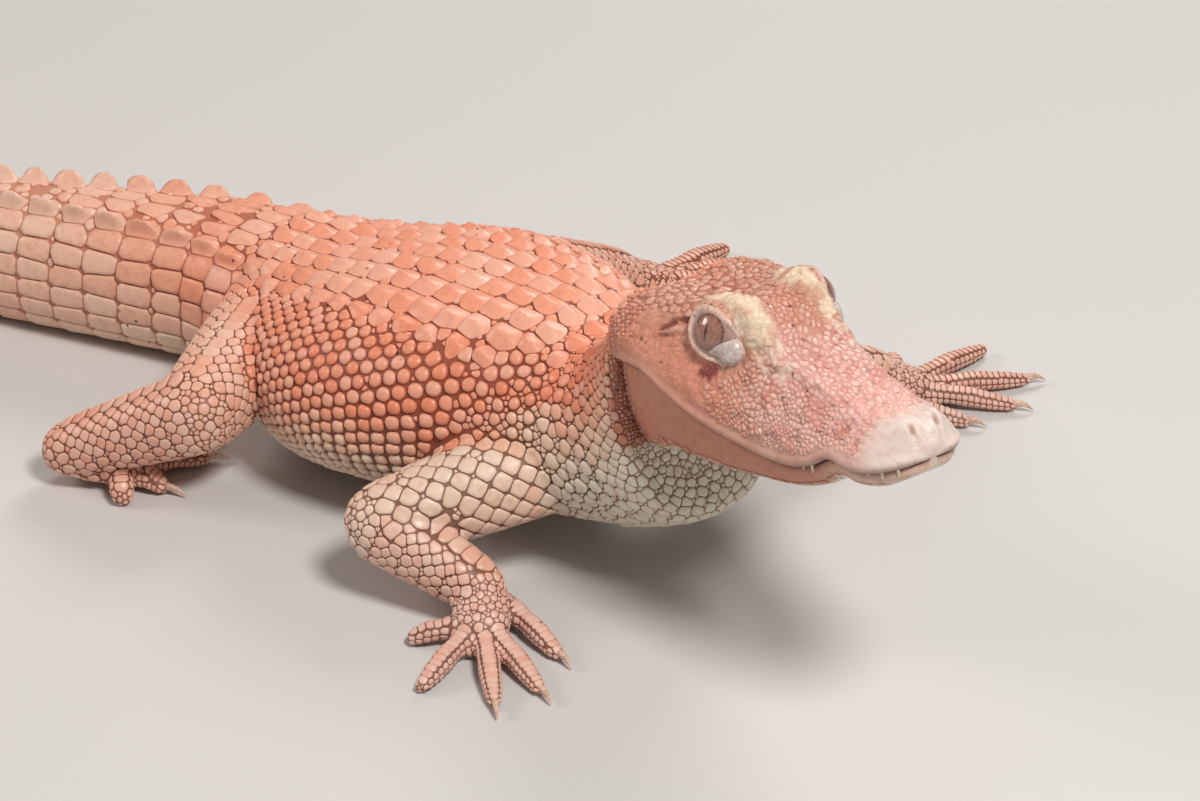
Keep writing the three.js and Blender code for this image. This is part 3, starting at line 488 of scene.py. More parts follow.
def body_flesh():
    """Trunk, neck, tail, limbs and digits as overlapping closed shapes, made one by a remesh."""
    bm = bmesh.new()
    rings = body_rings(np.concatenate([np.linspace(0.0, 9, 110), np.linspace(9.02, 10, 120)]), 96, -SKIN_INSET)
    add_to(bm, closed_rings(rings))
    for plan in PLANS.values():
        a, b, c = plan["joints"]
        girth = plan["girth"]
        lengths = [
            limb_rings(a, b, girth[0], girth[1], 1.06, 1, 40, -SKIN_INSET),
            limb_rings(b, c, girth[1] * 0.96, girth[2], 1.04, 1, 40, -SKIN_INSET),
            limb_rings(c, plan["palm_end"], girth[2], 13, 1.05, 0.72, 40, -SKIN_INSET * 0.7),
        ]
        for rings in lengths:
            add_to(bm, closed_rings(rings))
        for i in range(len(plan["tips"])):
            add_to(bm, closed_rings(digit_rings(plan, i, -0.2)))
        for i in range(len(plan["tips"]) - 1):
            add_to(bm, web_between(plan, i))
    piece = object_from(bm, "body_flesh")
    remesh = piece.modifiers.new("one surface", "REMESH")
    remesh.mode = "VOXEL"
    remesh.voxel_size = BODY_VOXEL
    apply_modifiers(piece)
    points = places_of(piece.data)
    edges = edges_of(piece.data)
    points = even_out(points, edges, 6)
    small = np.zeros(len(points))
    for plan in PLANS.values():
        far = np.linalg.norm((points - plan["palm_end"])[:, :2], axis=1)
        small = np.maximum(small, 1 - soft_step(50, 70, far))
    points = even_out(points, edges, 30, 0.6, 0.6, 1 - small * 0.9)
    points[:, 2] = np.maximum(points[:, 2], 0.15)
    move_to(piece.data, points)
    return piece, small


# Head

JAW_STEPS = spread([11, 10, 9, 7, 4])
TOP_STEPS = spread([2, 9, 12, 14, 9, 8])


def head_value(column, at):
    return smooth(HEAD[:, 0], HEAD[:, column], at)


def head_half(at):
    """Half sections of the head from under the jaw, in at the mouth, and up to the crown, as across and up."""
    mouth, lip = head_value(1, at), head_value(2, at)
    cheek = np.stack([head_value(3, at), head_value(4, at)], -1)
    side = np.stack([head_value(5, at), head_value(6, at)], -1)
    edge = np.stack([head_value(7, at), head_value(8, at)], -1)
    middle = head_value(9, at)
    wide = np.maximum(lip - JAW_INSET, 0.012)
    deep = smooth(JAW_DEPTH[:, 0], JAW_DEPTH[:, 1], at)
    pair = lambda y, z: np.stack([y, z], -1)
    zero = np.zeros_like(at)
    jaw = np.stack([
        pair(zero, mouth - deep * 0.96), pair(wide * 0.42, mouth - deep * 0.98), pair(wide * 0.8, mouth - deep * 0.88),
        pair(wide * 0.97, mouth - deep * 0.5), pair(wide, mouth - deep * 0.12), pair(wide * 0.97, mouth - 0.003),
    ], -2)
    top = np.stack([
        pair(lip * 0.985, mouth + 0.001), pair(lip, mouth + 0.012), cheek, side, edge,
        pair(edge[:, 0] * 0.45, middle * 0.6 + edge[:, 1] * 0.4), pair(zero, middle),
    ], -2)
    jaw_line = curve(jaw, JAW_STEPS)
    top_line = curve(top, TOP_STEPS)
    inner = pair(wide * 0.97 - 0.014, mouth - 0.001)[:, None, :]
    dip = np.concatenate([jaw_line[:, -1:] * 0.5 + inner * 0.5, inner, top_line[:, :1] * 0.5 + inner * 0.5], 1)
    return np.concatenate([jaw_line, dip, top_line], 1)


def head_rings():
    at = np.concatenate([np.linspace(0, 0.86, 146), 0.86 + 0.115 * np.sin(np.linspace(0, np.pi / 2, 36))[1:]])
    half = head_half(at)
    right = (half * np.array([-1, 1]))[:, ::-1][:, 1:-1]
    whole = np.concatenate([half, right], 1)
    points = np.concatenate([np.broadcast_to(at[:, None, None], whole.shape[:2] + (1,)), whole], -1)
    back = []
    for step in (0.08, 0.05, 0.025):
        ring = points[0].copy()
        middle = ring.mean(0)
        ring = middle + (ring - middle) * (1 - step * 2.2)
        ring[:, 0] = -step
        back.append(ring)
    return np.concatenate([np.array(back), points])


def eye_axes(sign):
    """Middle of an eyeball, the way its opening faces, and the opening's length and height."""
    looks = unit(mirror(LID_LOOKS, sign))
    tilt = math.radians(EYE_TILT)
    length = np.array([math.cos(tilt), 0, math.sin(tilt)])
    length = unit(length - looks * (length @ looks))
    height = np.cross(looks, length)
    return mirror(BALL_AT, sign), looks, length, height * np.sign(height[2])


def lid_reach(points, sign):
    """How far out in the opening between the lids each point lies, 1 on its edge, and its way from the eyeball."""
    centre, looks, length, height = eye_axes(sign)
    away = points - centre
    far = np.linalg.norm(away, axis=1)
    out = away / np.maximum(far, 1e-9)[:, None]
    forward, upward = out @ length, out @ height
    aside = np.maximum(np.hypot(forward, upward), 1e-9)
    angle = np.degrees(np.arctan2(aside, out @ looks))
    long = np.where(forward > 0, EYE_LONG, EYE_BACK)
    edge = 1 / np.hypot(forward / aside / long, upward / aside / EYE_TALL)
    return angle / edge, far, out


def eye_reach(out, sign):
    """How far the wet surface between the lids lies from the eyeball's middle, further out at the front corner."""
    _, looks, length, _ = eye_axes(sign)
    corner = looks * math.cos(math.radians(EYE_LONG)) + length * math.sin(math.radians(EYE_LONG))
    return BALL_RADIUS * (1 + 0.42 * soft_step(0.72, 1.0, out @ corner))


def bell(value):
    return np.exp(-value ** 2)


def line_gap(points, line):
    """Distance of points from a line of corners, and the way from it."""
    line = np.asarray(line, float)
    gap = np.full(len(points), 1e9)
    way_out = np.zeros_like(points)
    for start, end in zip(line[:-1], line[1:]):
        way = end - start
        share = np.clip((points - start) @ way / (way @ way), 0, 1)
        out = points - start - share[:, None] * way
        far = np.linalg.norm(out, axis=1)
        nearer = far < gap
        gap[nearer], way_out[nearer] = far[nearer], out[nearer]
    return gap, way_out


# Lines and spots of the head's left side, in head lengths
BROW = [(0.262, 0.105, 0.228), (0.3, 0.092, 0.243), (0.345, 0.09, 0.245), (0.385, 0.092, 0.23),
        (0.42, 0.097, 0.208), (0.445, 0.1, 0.185)]
BROW_WIDE = 0.043
EAR = [(0.17, 0.202, 0.147), (0.183, 0.192, 0.156), (0.198, 0.178, 0.171), (0.225, 0.166, 0.18), (0.245, 0.158, 0.187)]
EAR_FOLD = [(0.178, 0.208, 0.146), (0.205, 0.19, 0.156), (0.25, 0.177, 0.17)]
EAR_GROOVE = [(0.165, 0.222, 0.131), (0.188, 0.208, 0.139), (0.215, 0.2, 0.142), (0.245, 0.19, 0.152),
              (0.28, 0.186, 0.166)]
LOWER_LID = [(0.24, 0.184, 0.143), (0.256, 0.181, 0.139), (0.304, 0.179, 0.117), (0.341, 0.169, 0.107),
             (0.378, 0.153, 0.098), (0.428, 0.142, 0.1), (0.455, 0.13, 0.111)]
UNDER_EYE = [(0.2, 0.2, 0.13), (0.256, 0.186, 0.126), (0.304, 0.184, 0.103), (0.341, 0.174, 0.094),
             (0.378, 0.157, 0.084), (0.43, 0.147, 0.087), (0.465, 0.134, 0.098)]
TABLE_EDGE = [(0.0, 0.148, 0.168), (0.12, 0.148, 0.183), (0.22, 0.134, 0.212)]
SNOUT_EDGE = [(0.5, 0.088, 0.15), (0.6, 0.084, 0.12), (0.7, 0.078, 0.104)]
KNOBS = np.array([(0.447, 0.127, 0.116), (0.471, 0.12, 0.133), (0.489, 0.124, 0.113), (0.505, 0.106, 0.147),
                  (0.54, 0.11, 0.105), (0.474, 0.092, 0.181), (0.49, 0.084, 0.172), (0.508, 0.087, 0.16),
                  (0.528, 0.104, 0.128), (0.492, 0.108, 0.158), (0.548, 0.094, 0.128)])
SNOUT_PIT = np.array([0.783, 0.111, 0.056])
SNOUT_SLIT = [(0.822, 0.072, 0.087), (0.852, 0.062, 0.089)]
RED_SPOT = np.array([0.338, -0.19, 0.083])
LID_REACH = [0, 0.9, 0.99, 1.05, 1.14, 1.3, 1.55]
LID_HIGH = [-0.014, -0.014, 0.003, 0.009, 0.0105, 0.006, 0.006]


def head_forms(points, normals):
    """Brow plates, ear flaps, knobs, nostrils, lips and wrinkles pushed out of the plain head."""
    near = np.abs(points) * np.array([0, 1, 0]) + points * np.array([1, 0, 1])
    over = near[:, 2] - head_value(1, np.clip(near[:, 0], 0, 0.975))
    brow = line_gap(near, BROW)[0]
    push = 0.008 * (1 - soft_step(BROW_WIDE - 0.012, BROW_WIDE + 0.006, brow))
    ear, way = line_gap(near, EAR)
    push += np.where(way[:, 2] > 0, 0.009 * (1 - soft_step(0.006, 0.026, ear)), 0) - 0.018 * bell(ear / 0.0052)
    push += 0.006 * bell(line_gap(near, EAR_FOLD)[0] / 0.007)
    push -= 0.012 * bell(line_gap(near, EAR_GROOVE)[0] / 0.0048)
    push += 0.006 * bell(line_gap(near, TABLE_EDGE)[0] / 0.014)
    push += 0.005 * bell(line_gap(near, SNOUT_EDGE)[0] / 0.012)
    push += 0.005 * bell(line_gap(near, LOWER_LID)[0] / 0.008)
    push -= 0.006 * bell(line_gap(near, UNDER_EYE)[0] / 0.006)
    push -= 0.007 * bell(np.linalg.norm(near - SNOUT_PIT, axis=1) / 0.016)
    push -= 0.008 * bell(line_gap(near, SNOUT_SLIT)[0] / 0.005)
    crown = soft_step(0.1, 0.14, near[:, 2]) * (1 - soft_step(0.22, 0.3, near[:, 0]))
    push -= 0.006 * bell(near[:, 1] / 0.05) * crown
    for knob in KNOBS:
        push += 0.009 * bell(np.linalg.norm(near - knob, axis=1) / 0.0095)
    nose = near - NOSTRIL_AT
    push += 0.011 * bell(np.linalg.norm(nose, axis=1) / 0.032)
    push -= 0.017 * bell(np.hypot((nose[:, 0] - 0.5 * nose[:, 1]) / 0.015, nose[:, 1] / 0.006)) * (nose[:, 2] > -0.05)
    push -= 0.004 * bell(near[:, 1] / 0.012) * bell((near[:, 0] - 0.95) / 0.05) * (near[:, 2] > 0.05)
    side = soft_step(0.03, 0.06, near[:, 1])
    push += side * (0.006 * bell((over - 0.016) / 0.012) + 0.003 * bell((over + 0.02) / 0.012))
    rough = soft_step(0.03, 0.07, over) * soft_step(-0.02, 0.1, near[:, 0]) * (1 - soft_step(0.84, 0.9, near[:, 0]))
    long_way = points / np.array([2.4, 1, 1])
    lumps = soft_step(0.42, 0.5, near[:, 0]) * (1 - soft_step(0.8, 0.88, near[:, 0]))
    push += rough * (0.0036 * grain(points, 0.018, 3) + 0.0034 * grain(long_way, 0.0085, 5))
    push += lumps * rough * 0.006 * grain(points, 0.035, 6)
    push += (0.004 * grain(points, 0.02, 8) + 0.0035 * grain(long_way, 0.009, 9)) * (brow < BROW_WIDE)
    return points + normals * push[:, None]


def open_lids(points):
    """Sets the skin round each eye on the eyeball as rounded lids, and behind it where the lids are open."""
    for sign in (-1, 1):
        reach, far, out = lid_reach(points, sign)
        mine = (points[:, 1] * sign > 0) & (far < 0.2)
        wet = BALL_RADIUS + (eye_reach(out, sign) - BALL_RADIUS) * (1 - soft_step(1.15, 1.6, reach))
        rim = wet + np.interp(reach, LID_REACH, LID_HIGH)
        hold = (1 - soft_step(1.3, 1.95, reach)) * (1 - soft_step(0.02, 0.06, far - wet))
        placed = rim * hold + np.maximum(far, wet + 0.009) * (1 - hold)
        points = np.where(mine[:, None], mirror(BALL_AT, sign) + out * placed[:, None], points)
    return points


def finer_near(bm, spots, reach):
    """Splits the edges near some spots, so that small folds have enough faces."""
    spots = [Vector(spot) for spot in spots]
    edges = []
    for edge in bm.edges:
        middle = (edge.verts[0].co + edge.verts[1].co) / 2
        if any((middle - spot).length < reach for spot in spots):
            edges.append(edge)
    bmesh.ops.subdivide_edges(bm, edges=edges, cuts=1, use_grid_fill=True)


# Where the head's mesh is made finer, and how far round each spot: eye, nostril, ear and knobs
FINE_SPOTS = [(BALL_AT, 0.118), (NOSTRIL_AT, 0.032), ((0.2, 0.19, 0.158), 0.04), ((0.47, 0.12, 0.125), 0.066)]


def head_flesh():
    rings = head_rings()
    bm = ball(rings, rings[0].mean(0), rings[-1].mean(0) + np.array([0.003, 0, 0]))
    for spot, reach in FINE_SPOTS:
        finer_near(bm, [mirror(spot, sign) for sign in (-1, 1)], reach)
    piece = object_from(bm, "head_flesh")
    points = head_forms(places_of(piece.data), normals_of(piece.data))
    points = open_lids(points)
    round_lids = np.zeros(len(points))
    for sign in (-1, 1):
        reach, far, _ = lid_reach(points, sign)
        mine = soft_step(1.2, 1.45, reach) * (1 - soft_step(0.14, 0.175, far)) * (points[:, 1] * sign > 0)
        round_lids = np.maximum(round_lids, mine)
    move_to(piece.data, in_head(even_out(points, edges_of(piece.data), 4, 0.5, 0.35, round_lids)))
    return piece


def thin_out(piece, small, ratio):
    """Fewer faces where scales will cover the skin, all of them kept on hands and feet."""
    group = piece.vertex_groups.new(name="covered")
    for level in range(11):
        chosen = np.nonzero(np.round((1 - small) * 10) == level)[0]
        if len(chosen):
            group.add(chosen.tolist(), level / 10, "REPLACE")
    thin = piece.modifiers.new("fewer faces", "DECIMATE")
    thin.ratio = ratio
    thin.vertex_group = group.name
    apply_modifiers(piece)
    piece.vertex_groups.clear()


def one_skin(body, head):
    """Joins head and body, and softens the fold where they meet."""
    for piece, index in ((body, 0), (head, 1)):
        piece.data.materials.clear()
        for name in ("body skin", "head skin"):
            piece.data.materials.append(bpy.data.materials.get(name) or bpy.data.materials.new(name))
        piece.data.polygons.foreach_set("material_index", [index] * len(piece.data.polygons))
    union = body.modifiers.new("head on neck", "BOOLEAN")
    union.operation = "UNION"
    union.solver = "EXACT"
    union.object = head
    apply_modifiers(body)
    bpy.data.objects.remove(head)
    mesh = body.data
    of_head = np.zeros(len(mesh.vertices), int)
    of_body = np.zeros(len(mesh.vertices), int)
    for face in mesh.polygons:
        (of_head if face.material_index == 1 else of_body)[list(face.vertices)] = 1
    points = places_of(mesh)
    tree = KDTree(int((of_head & of_body).sum()))
    for n, i in enumerate(np.nonzero(of_head & of_body)[0]):
        tree.insert(points[i], n)
    tree.balance()
    fold = np.array([tree.find(p)[2] if abs(p[0] - HEAD_AT[0]) < 60 else 99 for p in points])
    points = even_out(points, edges_of(mesh), 8, 0.5, 0.2, 1 - soft_step(2, 7, fold))
    move_to(mesh, points)
    return body


# The skin as a surface that scales are set on

class Surface:
    def __init__(self, mesh):
        self.points = places_of(mesh)
        self.normals = normals_of(mesh)
        faces = [tuple(f.vertices) for f in mesh.polygons]
        self.tree = BVHTree.FromPolygons([tuple(p) for p in self.points], faces)
        self.face_normals = np.array([self.normals[list(f)].mean(0) for f in faces])

    def nearest(self, points):
        found = [self.tree.find_nearest(p) for p in points]
        return np.array([f[0] for f in found]), unit(self.face_normals[[f[2] for f in found]])


# Ways round the body and limbs

AT_FINE = np.linspace(0, 10, 501)
TOP_LINE = body_rings(AT_FINE, 4, 0)[:, 1]
RUN_FINE = np.insert(np.cumsum(np.linalg.norm(np.diff(TOP_LINE, axis=0), axis=1)), 0, 0)
HALF_TURNS = np.linspace(np.pi / 2, -np.pi / 2, 73)


def run_at(at):
    return float(np.interp(at, AT_FINE, RUN_FINE))


def half_girth(run):
    rings = oval(*body_section(np.interp(run, RUN_FINE, AT_FINE)), HALF_TURNS)
    return np.linalg.norm(np.diff(rings, axis=1), axis=2).sum(1)


def on_body(run, round_by):
    """Places on the body by distance along the back and distance round from its middle line, left above zero."""
    run, round_by = np.asarray(run, float), np.asarray(round_by, float)
    section = body_section(np.interp(run, RUN_FINE, AT_FINE))
    rings = oval(*section, HALF_TURNS)
    arcs = np.cumsum(np.linalg.norm(np.diff(rings, axis=1), axis=2), axis=1)
    arcs = np.concatenate([np.zeros((len(arcs), 1)), arcs], 1)
    reach = np.abs(round_by)
    column = np.clip((arcs < reach[:, None]).sum(1) - 1, 0, len(HALF_TURNS) - 2)
    rows = np.arange(len(arcs))
    share = (reach - arcs[rows, column]) / (arcs[rows, column + 1] - arcs[rows, column])
    turn = HALF_TURNS[column] + share * (HALF_TURNS[1] - HALF_TURNS[0])
    turn = np.where(round_by < 0, np.pi - turn, turn)
    point = oval(*section, turn[:, None])[:, 0]
    return point, np.cross(section[1], section[2])


def on_limb(start, end, thick_start, thick_end, share, turn, flat=1.0):
    """Places on a limb's length, by share of the way and turn from its side towards its top."""
    start, end = np.asarray(start, float), np.asarray(end, float)
    along = unit(end - start)
    side = unit([-along[1], along[0], 0])
    up = np.cross(along, side)
    thick = thick_start + (thick_end - thick_start) * share
    point = (start + (end - start) * share[:, None] + side * (thick * np.cos(turn))[:, None]
             + up * (thick * flat * np.sin(turn))[:, None])
    return point, np.tile(along, (len(point), 1))


# Scales: where each one grows, how large it is and of what kind

# The rings of each kind from rim to crown as pairs of reach and height, its sides and how sharp its corners are,
# its height in millimetres, keel and lean, and its own gap and widest reach where it has them
KINDS = {
    "scute": {"rings": [(1, 0.22), (0.96, 0.44), (0.84, 0.55), (0.62, 0.7), (0.4, 0.85), (0.2, 0.95)],
              "sides": 24, "sharp": 15, "high": 4.1, "keel": 1, "lean": 1.4, "widest": 0.84},
    "crest": {"rings": [(1, 0.1), (0.93, 0.24), (0.78, 0.4), (0.58, 0.6), (0.38, 0.8), (0.18, 0.95)],
              "sides": 24, "sharp": 16, "high": 8.5, "keel": 1, "lean": 0.8},
    "tile": {"rings": [(1, 0.3), (0.92, 0.86), (0.6, 1.0)], "sides": 14, "sharp": 22,
             "high": 1.0, "keel": 0, "lean": 0.3, "widest": 0.86},
    "bead": {"rings": [(1, 0.25), (0.88, 0.72), (0.52, 0.96)], "sides": 12, "sharp": 11,
             "high": 1.6, "keel": 0, "lean": 0.35},
    "pebble": {"rings": [(1, 0.12), (0.86, 0.62), (0.5, 0.95)], "sides": 12, "sharp": 6,
               "high": 2.0, "keel": 0, "lean": 0.3, "gap": 0.24},
    "oval": {"rings": [(1, 0.25), (0.9, 0.76), (0.55, 0.97)], "sides": 14, "sharp": 13,
             "high": 1.4, "keel": 0, "lean": 0.5},
    "plate": {"rings": [(1, 0.3), (0.93, 0.84), (0.65, 0.98)], "sides": 18, "sharp": 24,
              "high": 1.2, "keel": 0, "lean": 1.0, "widest": 1.05},
    "grain": {"rings": [(1, 0.2), (0.75, 0.85)], "sides": 9, "sharp": 9, "high": 0.5, "keel": 0, "lean": 0},
}
GAP = 0.13
WIDEST = 0.76


class Seeds:
    def __init__(self):
        self.rows = {k: [] for k in ("point", "along", "long", "wide", "kind", "piece", "high")}

    def sow(self, point, along, long, wide, kind, piece, high=1.0):
        count = len(point)
        spread_out = lambda v: np.broadcast_to(np.asarray(v, float), (count,))
        self.rows["point"].append(np.asarray(point, float))
        self.rows["along"].append(np.asarray(along, float))
        self.rows["long"].append(spread_out(long))
        self.rows["wide"].append(spread_out(wide))
        self.rows["high"].append(spread_out(high))
        self.rows["kind"].append(np.array([kind] * count, dtype=object))
        self.rows["piece"].append(np.array([piece] * count, dtype=object))

    def all(self):
        return {k: np.concatenate(v) for k, v in self.rows.items()}


ROW_PITCH = 15.4
NECK_END = 2.4
TRUNK_START, TRUNK_END, TAIL_TIP = run_at(NECK_END), run_at(9), run_at(10)
ROW_COUNT = int((TRUNK_END - TRUNK_START) // ROW_PITCH)
ROW_STEP = (TRUNK_END - TRUNK_START) / ROW_COUNT


def back_shield(seeds):
    """Keeled scutes in rows across the neck and back."""
    nuchal = [(34, 11, 13, 13, 0.8), (34, 27, 12, 12, 0.7), (56, 10.5, 21, 19, 1.15), (56, 29, 17, 15, 0.9)]
    for run, out, long, wide, high in nuchal:
        point, along = on_body([run, run], [-out, out])
        seeds.sow(point, along, long, wide, "scute", "back_scutes", high)
    edge = []
    for i in range(ROW_COUNT):
        run = TRUNK_START + (i + 0.5) * ROW_STEP
        share = i / (ROW_COUNT - 1)
        per_side = 2 if share < 0.08 or share > 0.88 else 3
        wide = 13.4 + 2.6 * math.sin(math.pi * min(share * 1.2, 1))
        for k in range(per_side):
            out = (k + 0.5) * wide
            shake = random.normal(0, 0.5, 2)
            point, along = on_body(np.array([run, run]) + shake, [-out, out])
            seeds.sow(point, along, ROW_STEP, wide, "scute", "back_scutes", random.uniform(0.8, 1.1, 2))
        edge.append((run, per_side * wide))
        out = per_side * wide + 5.2 + random.uniform(-0.8, 1.2)
        point, along = on_body([run + 0.1 * ROW_STEP] * 2, [-out, out])
        seeds.sow(point, along, random.uniform(9, 13), 11.5, "scute", "back_scutes", 0.75)
    return np.array(edge)


def throat_rows(seeds):
    """Rows of small square scales under the jaw, along its edge, larger towards the middle."""
    inward = 1.0
    while inward < 44:
        wide = 3.0 + 0.1 * inward
        at = np.arange(0.015, 0.86, wide * 1.35 / HEAD_LENGTH) + random.uniform(0, 0.01)
        half = (head_value(2, at) - JAW_INSET) * 0.9 - inward / HEAD_LENGTH
        at, half = at[half > 0.008], half[half > 0.008]
        deep = head_value(1, at) - smooth(JAW_DEPTH[:, 0], JAW_DEPTH[:, 1], at) * 0.97
        for sign in (-1, 1):
            point = in_head(np.stack([at, sign * half, deep], -1))
            if len(point) > 1:
                seeds.sow(point, unit(np.gradient(point, axis=0)), wide * 1.35, wide, "tile", "throat_scales", 0.55)
        inward += wide


def body_scales(seeds, edge):
    """Beads and tiles in rows round the neck, flanks and belly."""
    run, row = 15.0, 0
    while run < TRUNK_END + 4:
        girth = float(half_girth([run])[0])
        neck = 1 - soft_step(TRUNK_START - 12, TRUNK_START + 34, run)
        shield = float(np.interp(run, edge[:, 0], edge[:, 1])) + 10.5
        out = shield * (1 - neck) + 6 * neck
        trunk_share = (run - TRUNK_START) / (TRUNK_END - TRUNK_START)
        flank = float(np.interp(trunk_share, [0, 0.25, 0.55, 0.8, 1], [6.4, 7.4, 6.6, 5.4, 5.6]))
        pitch = float(np.interp(run, [12, 40, 75], [4.4, 5.6, 7.6])) * neck + flank * (1 - neck)
        places, widths = [], []
        while out < girth - 1.5:
            share = out / girth
            side = (8.2 - 2.2 * soft_step(0.35, 0.6, share)) * flank / 7.2 + 3.6 * soft_step(0.68, 0.85, share)
            collar = 5.2 + 4.2 * soft_step(0.1, 0.5, share) + 0.6 * soft_step(0.5, 0.8, share)
            collar *= float(np.interp(run, [12, 45, 75], [0.62, 0.82, 1.08]))
            wide = side * (1 - neck) + collar * neck
            places.append(out + wide / 2)
            widths.append(wide)
            out += wide
        places, widths = np.array(places), np.array(widths)
        stagger = 0.25 * widths * (1 if row % 2 else -1)
        share = places / girth
        for sign in (-1, 1):
            shake = random.normal(0, 0.055, (2, len(places)))
            at_round = sign * (places + stagger * (1 - soft_step(0.62, 0.75, share)) + shake[0] * widths)
            at_run = run + shake[1] * pitch
            point, along = on_body(at_run, at_round)
            side_name = "left" if sign > 0 else "right"
            for low_share, high_share, kind, piece, high in (
                (0, 0.72, "pebble", f"side_scales_{side_name}", 1.0),
                (0.72, 2, "tile", f"belly_scales_{side_name}", 1.0),
            ):
                chosen = (share >= low_share) & (share < high_share)
                if neck > 0.5 and kind == "pebble":
                    kind, piece = "oval", f"neck_scales_{side_name}"
                if neck > 0.5 and kind == "tile":
                    piece = f"neck_scales_{side_name}"
                bump = random.uniform(0.8, 1.2, chosen.sum())
                seeds.sow(point[chosen], along[chosen], pitch, widths[chosen], kind, piece, bump * high)
        run += pitch
        row += 1


def tail_rows():
    """Where each ring of tail scales sits: distance along the back, length and share of the tail."""
    run = TRUNK_END + 11
    rows = []
    while run < TAIL_TIP - 8:
        share = (run - TRUNK_END) / (TAIL_TIP - TRUNK_END)
        long = 21 - 10.5 * share
        rows.append((run, long, share))
        run += long
    return rows


def tail_scales(seeds):
    """Rings of long scales round the tail, and two crests that draw together into one."""
    for run, long, share in tail_rows():
        girth = float(half_girth([run])[0])
        wide = float(smooth(TAIL_SIZES[:, 0], TAIL_SIZES[:, 1], share))
        apart = (1 - share * 1.9) * wide * 0.72
        rise = 0.45 + 4 * share if share < 0.12 else 1.05 - 0.5 * share
        crest_wide = max(12.5 - 7.5 * share, 4.5)
        if apart > 3.4:
            point, along = on_body([run, run], [-apart, apart])
            seeds.sow(point, along, long, crest_wide, "crest", "tail_crest", rise)
            inner = np.arange(0.5, max(math.floor((apart - crest_wide / 2) / 9.0), 0) + 0.4) * 9.0
            if len(inner):
                inner = inner * (apart - crest_wide / 2) / (inner[-1] + 4.5)
                at_round = np.concatenate([-inner, inner])
                point, along = on_body([run] * len(at_round), at_round)
                seeds.sow(point, along, long, 9, "scute", "tail_scales", 0.5)
            out = apart + crest_wide / 2
        else:
            point, along = on_body([run], [0.0])
            seeds.sow(point, along, long, crest_wide, "crest", "tail_crest", rise * 1.25)
            out = crest_wide / 2
        count = max(round((girth - out) / (12.5 - 6.5 * share)), 2)
        step = (girth - out) / count
        places = out + step * (np.arange(count) + 0.5)
        for sign in (-1, 1):
            shake = random.normal(0, 0.3, (2, count))
            point, along = on_body(run + shake[0], sign * (places + shake[1]))
            kind_high = np.where(np.arange(count) < 2, 1.5, 1.1)
            seeds.sow(point, along, long, step, "plate", "tail_scales", kind_high)


def ring_of_scales(seeds, piece, start, end, thick_a, thick_b, rows, pattern):
    """Scales round a limb's length: pattern gives turn, width in millimetres and kind for each column."""
    pitch = np.linalg.norm(np.asarray(end) - np.asarray(start)) / rows
    for row in range(rows):
        share = (row + 0.5) / rows
        thick = thick_a + (thick_b - thick_a) * share
        for turn, wide, kind, stagger, high in pattern(thick):
            if kind == "plate" and row % 2:
                continue
            offset = stagger * wide / thick * (0.5 if row % 2 else 0)
            shake = random.normal(0, 0.03, 2)
            point, along = on_limb(start, end, thick_a, thick_b, np.array([share + shake[0] / rows]),
                                   np.array([turn + offset + shake[1] * wide / thick]))
            seeds.sow(point, along, pitch * 2, wide, kind, piece, high)


def even_columns(thick, wide, kind, stagger=1, high=1.0, start=0.0, end=2 * math.pi):
    count = max(round((end - start) * thick / wide), 3)
    step = (end - start) / count
    return [(start + step * (i + 0.5), step * thick, kind, stagger, high) for i in range(count)]


def banded_columns(thick, wide, small, front=math.pi / 2, broad=2.0):
    """One broad column of plates on the front, smaller scales round the rest."""
    half = broad * 0.5 * wide / thick
    columns = [(front, broad * wide, "plate", 0, 1.15)]
    return columns + even_columns(thick, small, "tile", 1, 1.0, front + half, front + 2 * math.pi - half)


def limb_scales(seeds):
    for (side, kind), plan in PLANS.items():
        a, b, c = plan["joints"]
        girth = plan["girth"]
        piece = f"{kind}_scales_{side}"
        if kind == "arm":
            ring_of_scales(seeds, piece, a, b, girth[0], girth[1], 15, lambda t: even_columns(t, 11.0, "tile", 1, 1.25))
            ring_of_scales(seeds, piece, b, c, girth[1], girth[2], 15, lambda t: banded_columns(t, 9.0, 6.6, math.pi * 0.42))
        else:
            ring_of_scales(seeds, piece, a, b, girth[0], girth[1], 26, lambda t: banded_columns(t, 5.5, 8.0, math.pi * 0.5))
            ring_of_scales(seeds, piece, b, c, girth[1], girth[2], 18, lambda t: banded_columns(t, 7.0, 6.5, math.pi * 0.5))
        hand_scales(seeds, plan, piece)


def hand_scales(seeds, plan, piece):
    """Rings of scales along each digit, with a broad plate on top."""
    for i in range(len(plan["tips"])):
        knuckle, tip = plan["knuckles"][i], plan["tips"][i]
        long = np.linalg.norm((tip - knuckle)[:2])
        rows = max(round(long / 3.6), 3)
        share = (np.arange(rows) + 0.2) / rows
        middle, thick, along, _ = digit_line(plan, i, share)
        beside = unit([-along[1], along[0], 0])
        for k in range(rows):
            for turn, wide, kind, high in ((90, 2.1, "plate", 0.7), (22, 0.7, "bead", 0.36), (158, 0.7, "bead", 0.36),
                                           (-20, 0.7, "bead", 0.32), (200, 0.7, "bead", 0.32)):
                t = math.radians(turn)
                point = middle[k] + beside * thick[k] * math.cos(t) + np.array([0, 0, thick[k] * 0.9 * math.sin(t)])
                slip = along * (0.0 if turn == 90 else 1.6)
                seeds.sow([point + slip], [along], long / rows, wide * thick[k], kind, piece, high)


seeds = Seeds()
shield_edge = back_shield(seeds)
tail_scales(seeds)
limb_scales(seeds)
throat_rows(seeds)
body_scales(seeds, shield_edge)


# Where a point of the skin belongs, and the size of scale that fills it

